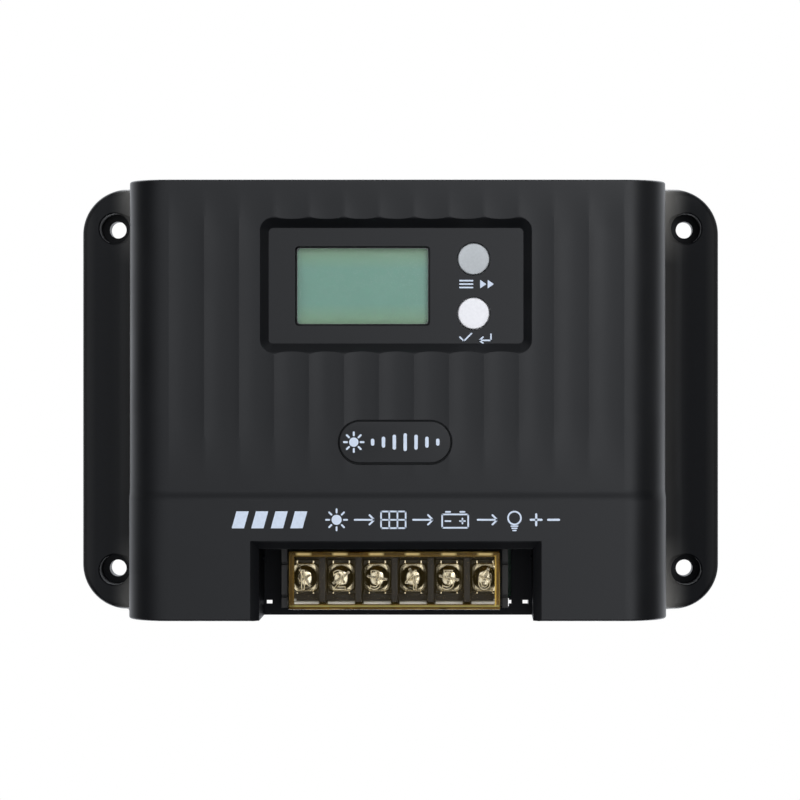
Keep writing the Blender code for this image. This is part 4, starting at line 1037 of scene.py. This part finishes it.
def mount_cutter(name, x, z):
    """Through hole with a counterbore whose mouth is slightly rounded."""
    far = 32 * MM
    lip = 0.35 * MM
    seat = -COUNTERBORE_FLOOR_Y
    profile = [
        (0.0, far),
        (COUNTERBORE_RADIUS + 3 * lip, far),
        (COUNTERBORE_RADIUS + 3 * lip, FLANGE_THICKNESS + 2 * lip),
        (COUNTERBORE_RADIUS + lip, FLANGE_THICKNESS),
        (COUNTERBORE_RADIUS, FLANGE_THICKNESS - lip),
        (COUNTERBORE_RADIUS, seat),
        (MOUNT_HOLE_RADIUS + lip / 2, seat),
        (MOUNT_HOLE_RADIUS, seat - lip / 2),
        (MOUNT_HOLE_RADIUS, -PAST),
        (0.0, -PAST),
    ]
    return turned(name, profile, x, 0.0, z, 64)


def screw_holes():
    """Cutters for the screws in the columns and in the posts."""
    in_columns = rods_at("housing_screw", 4, -26 * MM, -10 * MM, 1.6 * MM)
    in_posts = rods_at("display_screw", 2, -47.5 * MM, -42 * MM, 1.2 * MM)
    return in_columns + in_posts


def air_slots():
    """Cutters through the rear edges of the top and bottom walls, over the heat sink's fins."""
    rib_half_width = 4.0 * MM
    depth = (-8.0 * MM, PAST)
    tools = []
    for end, far in ((1, 68 * MM), (-1, 27 * MM)):
        zs = sorted((end * (HALF_HEIGHT + PAST), end * (HALF_HEIGHT - WALL - PAST)))
        for side in (-1, 1):
            xs = sorted((side * rib_half_width, side * far))
            tools.append(box("air_slot", *zip(xs, depth, zs)))
    return tools


def bay_studs():
    """Small round buttons on the side walls of the bay, where the cover's tabs would click."""
    studs = []
    for side in (-1, 1):
        wall_x = BAY_X + side * BAY_HALF_WIDTH
        stud = rod(f"stud_{side}", 0.0, 0.0, -0.5 * MM, 0.5 * MM, 0.8 * MM, 24)
        stud.data.transform(Matrix.Rotation(math.pi / 2, 4, "Z"))
        stud.data.transform(Matrix.Translation((wall_x, -36.4 * MM, -44.7 * MM)))
        studs.append(stud)
    return studs


def make_housing(material):
    """The outer shape, less one tool for the inside and one for each opening."""
    hollow, *pockets = housing_hollows()
    combine(hollow, "UNION", pockets)
    combine(hollow, "DIFFERENCE", inner_solids())
    housing = housing_body()
    combine(housing, "DIFFERENCE", [hollow] + front_openings() + screw_holes() + air_slots())
    shade(housing, 15)
    weighted_normals(housing)
    finish_piece(housing, material, "case", ["front_housing"])


# ---------------------------------------------------------------- display and buttons


def make_display(window_finish, lcd_finish):
    """The clear window and the display cell behind it."""
    for name, node, corner, edge, finish, slot in (
        ("display_window", "lcd_window", 0.7 * MM, 0.15 * MM, window_finish, "window_clear"),
        ("display_cell", "lcd_panel", 0.6 * MM, 0.1 * MM, lcd_finish, "lcd_green"),
    ):
        plate = soft_plate(name, *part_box(node), corner, edge)
        finish_piece(plate, finish, "case", [node])


def make_button(name, node, crown, material, body):
    """A cap with a slightly crowned top, a rounded edge, and the CAD's rim and stem."""
    low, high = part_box(node)
    centre = (low + high) / 2
    radius = 4.3 * MM
    edge = 0.45 * MM
    stem_radius = 1.5 * MM
    rim_radius = (high.x - low.x) / 2
    rim_front = high.y - BUTTON_RIM_Y
    rim_back = rim_front - 0.9 * MM
    top = high.y - low.y
    profile = [(0.0, top)]
    profile += [((radius - edge) * share, top - crown * share**2) for share in (0.35, 0.6, 0.8)]
    profile += reversed(arc((radius - edge, top - crown - edge), edge, 0, 90, 6))
    profile += [
        (radius, rim_front),
        (rim_radius, rim_front),
        (rim_radius, rim_back),
        (stem_radius, rim_back),
        (stem_radius, 0.0),
        (0.0, 0.0),
    ]
    button = turned(name, profile, centre.x, high.y, centre.z, 72, 40)
    finish_piece(button, material, body, [node])


# ---------------------------------------------------------------- badge and prints


class Print:
    """Thin flat marks printed on one surface that faces -Y; sizes here are in millimetres."""

    def __init__(self, surface_y):
        self.front_y = surface_y - 0.02 * MM
        self.back_y = self.front_y + 0.04 * MM
        self.parts = []

    def finish(self, name, material):
        finish_piece(join_meshes(name, self.parts), material, "case")

    def shape(self, outline):
        loops = [[(u * MM, y, v * MM) for u, v in outline] for y in (self.back_y, self.front_y)]
        self.parts.append(loft("mark", loops))

    def bar(self, start, end, width):
        """A line with round ends."""
        along = Vector(end) - Vector(start)
        angle = math.degrees(math.atan2(along.y, along.x))
        outline = arc(end, width / 2, angle - 90, angle + 90, 8)
        self.shape(outline + arc(start, width / 2, angle + 90, angle + 270, 8))

    def flat(self, x, z, half, width):
        self.bar((x - half, z), (x + half, z), width)

    def upright(self, x, z, half, width):
        self.bar((x, z - half), (x, z + half), width)

    def frame(self, low, high, width):
        corners = [low, (high[0], low[1]), high, (low[0], high[1])]
        for i in range(4):
            self.bar(corners[i], corners[(i + 1) % 4], width)

    def ring(self, x, z, outer, inner):
        """A flat ring, or a disc where there is no inner radius."""
        outer, inner, thickness = outer * MM, inner * MM, self.back_y - self.front_y
        profile = [(inner, thickness), (outer, thickness), (outer, 0.0), (inner, 0.0)]
        if inner:
            profile.append(profile[0])
        steps = 40 if inner else 32
        self.parts.append(turned("ring", profile, x * MM, self.back_y, z * MM, steps))

    def sun(self, x, z, radius, width, rays=8):
        self.ring(x, z, radius * 0.48, 0.0)
        for i in range(rays):
            angle = 2 * math.pi * i / rays
            reach = Vector((math.cos(angle), math.sin(angle))) * radius
            self.bar(Vector((x, z)) + reach * 0.70, Vector((x, z)) + reach, width)

    def arrow(self, start_x, end_x, z):
        head = 1.3
        width = 0.5
        self.bar((start_x, z), (end_x, z), width)
        for side in (1, -1):
            self.bar((end_x, z), (end_x - head, z + side * head), width)

    def panel(self, x, z):
        half_x, half_z, width = 3.4, 2.3, 0.45
        self.frame((x - half_x, z - half_z), (x + half_x, z + half_z), width)
        self.flat(x, z, half_x, width)
        for side in (-1, 1):
            self.upright(x + side * half_x / 3, z, half_z, width)

    def battery(self, x, z):
        width = 0.45
        post = 2.0
        self.frame((x - 3.6, z - 2.2), (x + 3.6, z + 1.5), width)
        for side in (-1, 1):
            self.flat(x + side * post, z + 2.2, 0.6, width)
            self.flat(x + side * post, z - 0.35, 0.7, width)
        self.upright(x + post, z - 0.35, 0.7, width)

    def lamp(self, x, z):
        self.ring(x, z + 0.5, 2.0, 1.55)
        for i in range(3):
            self.flat(x, z - 1.75 - 0.6 * i, 0.9 - 0.25 * i, 0.38)


def make_badge(black, print_white):
    """The plaque with a generic mark: a small sun and a row of rounded bars."""
    low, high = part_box("badge_plaque")
    corner = (high.z - low.z) / 2 - TINY_RADIUS
    plaque = soft_plate("badge", low, high, corner, 0.35 * MM, steps=24, edge_steps=5)
    finish_piece(plaque, black, "case", ["badge_plaque"])
    z = (low.z + high.z) / 2 / MM
    mark = Print(low.y)
    mark.sun(-11.8, z, 2.7, 0.55)
    for i, height in enumerate((1.9, 3.0, 4.1, 4.9, 4.1, 3.0, 1.9)):
        mark.upright(-6.6 + 3.0 * i, z, height / 2 - 0.45, 0.95)
    mark.finish("badge_mark", print_white)


def print_button_symbols(print_white):
    """Below the buttons: a list with an advance mark, and a tick with a return mark."""
    marks = Print(FRONT_Y + RECESS_DEPTH)
    width = 0.42
    x = centre_of("select_button").x / MM + 0.6
    z = 32.25
    for rise in (-0.95, 0.0, 0.95):
        marks.bar((x - 4.4, z + rise), (x - 0.9, z + rise), width)
    for left in (x + 1.2, x + 3.3):
        marks.shape([(left, z - 1.2), (left + 1.7, z), (left, z + 1.2)])
    z = 17.45
    tick = ((-4.4, 0.1), (-3.3, -1.0), (-1.2, 1.1))
    turn_back = ((4.2, 0.9), (4.2, -0.8), (1.0, -0.8))
    for line in (tick, turn_back, ((1.0, -0.8), (2.0, 0.1)), ((1.0, -0.8), (2.0, -1.6))):
        for start, end in zip(line, line[1:]):
            marks.bar((x + start[0], z + start[1]), (x + end[0], z + end[1]), width)
    marks.finish("button_symbols", print_white)


def print_label_symbols(print_white):
    """On the label strip: slanted bars, and what the terminals are for, as pictures."""
    marks = Print(FRONT_Y + STEP_DROP)
    z = -33.0
    half, width, lean = 2.35, 3.4, 1.3
    for i in range(4):
        left = -45.6 + 5.4 * i
        right = left + width
        low, high = z - half, z + half
        marks.shape([(left, low), (right, low), (right + lean, high), (left + lean, high)])
    marks.sun(-16.6, z, 2.9, 0.5)
    marks.arrow(-11.6, -6.2, z)
    marks.panel(-0.9, z)
    marks.arrow(4.6, 10.0, z)
    marks.battery(16.2, z)
    marks.arrow(22.4, 27.8, z)
    marks.lamp(32.6, z)
    marks.flat(38.6, z, 1.5, 0.6)
    marks.upright(38.6, z, 1.5, 0.6)
    marks.flat(43.4, z, 1.5, 0.6)
    marks.finish("label_symbols", print_white)


def terminal_screw():
    """A combination-drive pan head: bright crown, steep dark flank, slot and cross."""
    low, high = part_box("terminal_screw_1")
    seat_y = -36.4 * MM
    head_height = seat_y - low.y
    head_radius = 3.4 * MM
    head = (  # shares of the radius and of the height
        (0.0, 1.0), (0.18, 0.990), (0.35, 0.962), (0.50, 0.915), (0.62, 0.850), (0.69, 0.78),
        (0.78, 0.63), (0.89, 0.43), (0.97, 0.24), (1.0, 0.12), (1.0, 0.03), (0.985, 0.0),
    )
    profile = [(radius * head_radius, height * head_height) for radius, height in head]
    shank_radius = 1.9 * MM
    threads = 9
    thread_start = -0.8 * MM
    pitch = 0.7 * MM
    end = seat_y - high.y
    profile.append((shank_radius * 0.92, 0.0))
    for i in range(threads):
        root = thread_start - i * pitch
        profile += [(shank_radius * 0.84, root), (shank_radius, root - pitch / 2)]
    profile += [(shank_radius * 0.75, end + 0.3 * MM), (shank_radius * 0.6, end), (0.0, end)]
    screw = turned("terminal_screw_head_1", profile, 0.0, seat_y, 0.0, 64, 35)
    slot, cross = (4.0, 0.36), (0.30, 1.7)
    corner = 0.08 * MM
    tools = []
    for half_x, half_z in (slot, cross):
        loops = []
        for y, flare in ((low.y - PAST, 0.12), (low.y + PAST, 0.0)):
            reach = ((half_x + flare) * MM, (half_z + flare) * MM)
            loops.append(rounded_outline(0.0, 0.0, *reach, corner, y, steps=2))
        tools.append(loft("drive", loops))
    combine(screw, "DIFFERENCE", tools)
    shade(screw, 35)
    return screw


# ---------------------------------------------------------------- terminals


def make_terminal_screws(metal):
    """Six copies of one screw, each left at its own angle."""
    first = terminal_screw()
    for number, angle in enumerate((-60, 35, -10, -70, -12, 70), 1):
        screw = first
        if number > 1:
            screw = link_new(f"terminal_screw_head_{number}", first.data)
        screw.location = (POLE_XS[number - 1], 0.0, SCREW_Z)
        screw.rotation_euler = (0.0, math.radians(-angle), 0.0)
        node = f"terminal_screw_{number}"
        finish_piece(screw, metal, f"driver_{number}", [node])


def dished_plate(name, low, high, corner):
    """A square plate with round corners, flat in the middle, whose front falls away outside."""
    centre = (low + high) / 2
    chamfer = 0.1 * MM
    loops = [
        plate_outline(low, high, -chamfer, corner - chamfer, high.y, 8),
        plate_outline(low, high, 0.0, corner, high.y - chamfer, 8),
    ]
    front = ((0.0, 0.12), (0.04, 0.05), (0.12, 0.0), (0.4, 0.0), (0.8, 0.0), (1.2, 0.0))
    for inset, drop in front:
        loop = []
        outline = plate_outline(low, high, -inset * MM, corner - inset * MM, low.y + drop * MM, 8)
        for x, y, z in outline:
            outward = math.hypot(x - centre.x, z - centre.z)
            fall = WASHER_SLOPE * max(0.0, outward - WASHER_FLAT_RADIUS)
            loop.append((x, y + fall, z))
        loops.append(loop)
    return loft(name, loops, smooth_deg=40)


def make_clamp_washers(metal):
    """Square clamp washers with round corners, a dished front and four small prongs."""
    prong_half_width = 0.22 * MM
    prong_x, prong_z = 2.3 * MM, 4.45 * MM
    for number, x in enumerate(POLE_XS, 1):
        low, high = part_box(f"clamp_washer_{number}")
        plate = dished_plate("plate", low, high, 1.9 * MM)
        hole = rod("hole", x, SCREW_Z, low.y - PAST, high.y + PAST, 2.2 * MM, 40)
        combine(plate, "DIFFERENCE", [hole])
        parts = [plate]
        for side in (-1, 1):
            for end, tall in ((-1, 0.22 * MM), (1, 0.42 * MM)):
                at_x, at_z = x + side * prong_x, SCREW_Z + end * prong_z
                prong_low = (at_x - prong_half_width, low.y - 0.1 * MM, at_z - tall)
                prong_high = (at_x + prong_half_width, high.y - 0.2 * MM, at_z + tall)
                parts.append(soft_box("prong", prong_low, prong_high, 0.05 * MM))
        washer = join_meshes(f"clamp_washer_plate_{number}", parts)
        node = f"clamp_washer_{number}"
        finish_piece(washer, metal, f"clamp_{number}", [node])


def make_cover(amber, numeral):
    """The hollow amber cover, with the numerals 1 to 6 raised on its front."""
    low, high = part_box("terminal_cover")
    wall = 1.4 * MM
    behind = high.y + PAST
    below = low.z - PAST
    cover = soft_box("amber_cover", low, high, 0.35 * MM, 3)
    inside = ((low.x + wall, high.x - wall), (low.y + wall, behind), (low.z + wall, high.z - wall))
    wire_notch = ((-41.6 * MM, behind), (below, low.z + wall + PAST / 2))
    wire_notch_half_width = 4.0 * MM
    side_notch = ((-41.8 * MM, behind), (below, SCREW_Z + 4.8 * MM))
    spans = [inside]
    for x in POLE_XS:
        spans.append(((x - wire_notch_half_width, x + wire_notch_half_width), *wire_notch))
    for x in (low.x, high.x):
        spans.append(((x - 2 * wall, x + 2 * wall), *side_notch))
    combine(cover, "DIFFERENCE", [box("opening", *zip(*span)) for span in spans])
    shade(cover, 30)
    finish_piece(cover, amber, "cover", ["terminal_cover"])
    outlines = [
        numeral_outline(str(number), x - 0.2 * MM, SCREW_Z - 0.1 * MM, low.y)
        for number, x in enumerate(POLE_XS, 1)
    ]
    raised = join_meshes("cover_numerals", outlines)
    finish_piece(raised, numeral, "cover")


def numeral_outline(text, x, z, front_y):
    """A raised line that follows the outline of one numeral."""
    height = 5.6 * MM
    letter = bpy.data.curves.new("numeral", "FONT")
    letter.body = text
    letter.size = height / 0.70  # a capital's share of the font's size
    letter.align_x = "CENTER"
    letter.align_y = "CENTER"
    letter.fill_mode = "NONE"
    letter.resolution_u = 5
    letter.bevel_depth = 0.14 * MM
    letter.bevel_resolution = 1
    drawn = link_new("numeral", letter)
    bpy.context.view_layer.update()
    graph = bpy.context.evaluated_depsgraph_get()
    mesh = bpy.data.meshes.new_from_object(drawn.evaluated_get(graph))
    bpy.data.objects.remove(drawn, do_unlink=True)
    across, upward, _ = zip(*(vert.co for vert in mesh.vertices))
    middle = ((min(across) + max(across)) / 2, (min(upward) + max(upward)) / 2, 0.0)
    scale = height / (max(upward) - min(upward))
    mesh.transform(Matrix.Scale(scale, 4) @ Matrix.Translation(-Vector(middle)))
    mesh.transform(Matrix.Translation((x, front_y, z)) @ Matrix.Rotation(math.pi / 2, 4, "X"))
    return link_new("numeral_outline", mesh)


# ---------------------------------------------------------------- nodes kept from the CAD


def dress_cad_nodes(material, edge, nodes):
    """Gives CAD nodes their material and, where it helps, rounded edges."""
    for node in nodes:
        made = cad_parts[node]
        made.data.materials.clear()
        made.data.materials.append(material)
        weld = made.modifiers.new("Weld", "WELD")
        weld.merge_threshold = 0.005 * MM
        if edge:
            bevel = made.modifiers.new("Bevel", "BEVEL")
            bevel.width = edge * MM
            bevel.segments = 2
            bevel.limit_method = "ANGLE"
            bevel.angle_limit = math.radians(50)
            bevel.harden_normals = False


# ---------------------------------------------------------------- stage


def make_world():
    """White behind everything; the reflections see a soft studio, dark at the sides."""
    world = bpy.data.worlds.new("studio")
    bpy.context.scene.world = world
    world.use_nodes = True
    g = Nodes(world.node_tree)
    g.nodes.clear()
    output = g.add("ShaderNodeOutputWorld")
    direction = g.add("ShaderNodeTexCoord").outputs["Generated"]
    split = g.add("ShaderNodeSeparateXYZ")
    g.feed(split.inputs["Vector"], direction)
    x, y, z = split.outputs
    upright = g.maths("ABSOLUTE", z)

    def ramp(value, low, high, to_low=0.0, to_high=1.0):
        return g.spread(value, to_low, to_high, low, high, "SMOOTHSTEP")

    # the softbox in front, brighter toward the right, with the camera's dark shape in it
    lens = g.add("ShaderNodeVectorMath", operation="DOT_PRODUCT")
    g.feed(lens.inputs[0], direction)
    g.feed(lens.inputs[1], Vector((-0.03, -1.0, -0.06)).normalized())
    softbox = g.product(
        ramp(upright, 0.85, 0.40),
        ramp(x, 0.62, 0.28),
        ramp(x, -0.88, -0.40),
        ramp(x, -0.45, 0.40, 1.20, 2.50),
        ramp(y, -0.2, -0.5),
        ramp(lens.outputs["Value"], 0.9985, 0.978, 0.03, 1.0),
    )
    behind = ramp(y, -0.05, 0.80, 0.0, 1.30)
    ends = g.product(ramp(upright, 0.20, 0.75, 0.0, 3.2), ramp(y, 0.25, 0.7))
    ambient = ramp(z, -0.8, 0.2, 0.01, 0.14)
    overhead = ramp(z, 0.40, 0.95, 0.0, 0.45)
    studio = g.add("ShaderNodeBackground")
    g.feed(studio.inputs["Strength"], g.total(softbox, behind, ends, ambient, overhead))
    g.feed(studio.inputs["Color"], (0.955, 0.985, 1.04))
    white = g.add("ShaderNodeBackground")
    g.feed(white.inputs["Color"], (1.0, 1.0, 1.0))
    shown, elsewhere = white.outputs["Background"], studio.outputs["Background"]
    g.camera_sees(shown, elsewhere, output.inputs["Surface"])


def add_area_light(name, place, width, height, power):
    """A rectangular light that faces the middle of the object."""
    light = bpy.data.lights.new(name, "AREA")
    light.shape = "RECTANGLE"
    light.size = width
    light.size_y = height
    light.energy = power
    made = link_new(name, light)
    made.location = place
    made.rotation_euler = (-Vector(place)).to_track_quat("-Z", "Y").to_euler()


def make_stage():
    """A pale floor well below the hanging unit, so that only white shows behind it."""
    shape = bmesh.new()
    bmesh.ops.create_circle(shape, cap_ends=True, segments=64, radius=FLOOR_RADIUS)
    floor = add_mesh("floor", shape)
    floor.location.z = FLOOR_Z
    g = Graph("pale_floor")
    g.set(Base_Color=(0.85, 0.85, 0.85), Roughness=0.9)
    glow = g.add("ShaderNodeEmission")
    g.feed(glow.inputs["Color"], (0.93, 0.93, 0.93))
    shown, elsewhere = glow.outputs["Emission"], g.shader.outputs["BSDF"]
    g.camera_sees(shown, elsewhere, g.output.inputs["Surface"])
    floor.data.materials.append(g.material)
    floor.visible_glossy = False
    floor.visible_diffuse = False
    add_area_light("key", (1.0, -0.30, 0.12), 0.45, 0.60, 0.12)
    add_area_light("upper_right", (0.30, -0.65, 0.28), 0.30, 0.30, 0.70)


def make_camera():
    """Square to the front, a little right of and above the middle, with the lens shifted."""
    camera = bpy.data.cameras.new("camera")
    camera.lens = 129.5
    camera.sensor_width = 36.0
    camera.shift_x = -0.0934
    camera.shift_y = -0.0306
    made = link_new("camera", camera)
    made.location = (0.0216, -0.850, 0.0069)
    made.rotation_euler = (math.pi / 2, 0.0, 0.0)
    bpy.context.scene.camera = made


def build():
    """All the materials, then the pieces, then the stage."""
    black = moulded_plastic("housing_black", (0.0045, 0.0048, 0.0056), 0.40, duller=0.15)
    block_black = moulded_plastic("block_black", (0.013, 0.011, 0.009), 0.45)
    epoxy = moulded_plastic("epoxy_black", (0.030, 0.030, 0.030), 0.50, grain=0.01)
    button_grey = moulded_plastic("button_grey", (0.485, 0.505, 0.51), 0.40, worn=1.15)
    button_white = moulded_plastic("button_white", (0.79, 0.78, 0.79), 0.34, worn=1.1)
    print_white = ink("print_white", (0.66, 0.74, 0.86))
    nickel = bright_metal("terminal_nickel", (0.90, 0.78, 0.54), 0.13, scratch=0.002)
    tin = contact_material("contact_tin")
    steel = bright_metal("screw_steel", (0.56, 0.56, 0.57), 0.30)
    copper = bright_metal("copper_wire", (0.70, 0.30, 0.14), 0.24)
    aluminium = bright_metal(
        "heatsink_aluminium", (0.50, 0.51, 0.52), 0.36, (1.0, 1.0, 0.05), 0.01, tarnish=0.92
    )
    board = circuit_board_material("board_green")
    diffuser = soft_material("backlight_white", (0.8, 0.8, 0.77), 0.45)
    rubber = soft_material("thermal_rubber", (0.40, 0.42, 0.50), 0.8)
    core = powder_core_material("core_yellow")
    cable = ribbed_material("cable_grey", (0.50, 0.50, 0.51), (0.28, 0.28, 0.29), 250.0, 0.5)
    sleeve = striped_sleeve_material("capacitor_sleeve")
    make_housing(black)
    make_badge(black, print_white)
    print_button_symbols(print_white)
    print_label_symbols(print_white)
    make_display(window_material("window_clear"), lcd_material("lcd_green"))
    make_button("select_cap", "select_button", 0.10 * MM, button_grey, "select_key")
    make_button("enter_cap", "enter_button", 0.30 * MM, button_white, "enter_key")
    make_terminal_screws(nickel)
    make_clamp_washers(washer_material("washer_plate"))
    make_cover(amber_cover_material("cover_amber"), numeral_material("cover_numeral"))
    switches = ["select_switch", "enter_switch", "select_plunger", "enter_plunger"]
    screws = ["clamp_screw"] + numbered("board_screw", 4) + numbered("housing_screw", 4)
    capacitors = numbered("input_capacitor", 2) + ["output_capacitor"]
    for material, edge, nodes in (
        (block_black, 0.20, ["terminal_block"]),
        (aluminium, 0.25, ["heatsink_plate"]),
        (aluminium, 0.15, ["mosfet_clamp"]),
        (board, None, ["main_board", "display_board"]),
        (diffuser, 0.15, ["lcd_backlight"]),
        (rubber, 0.10, ["thermal_pad"]),
        (core, None, ["inductor_core"]),
        (copper, None, ["inductor_winding"]),
        (nickel, None, ["current_shunt"]),
        (cable, None, ["ribbon_cable"]),
        (epoxy, 0.12, ["microcontroller"] + switches),
        (epoxy, 0.10, numbered("mosfet", 4)),
        (steel, 0.06, numbered("display_screw", 2)),
        (steel, 0.08, screws),
        (sleeve, None, capacitors),
        (tin, 0.12, numbered("contact_plate", POLES)),
    ):
        dress_cad_nodes(material, edge, nodes)
    make_world()
    make_stage()
    make_camera()
    bpy.context.scene.view_settings.view_transform = "Standard"


build()
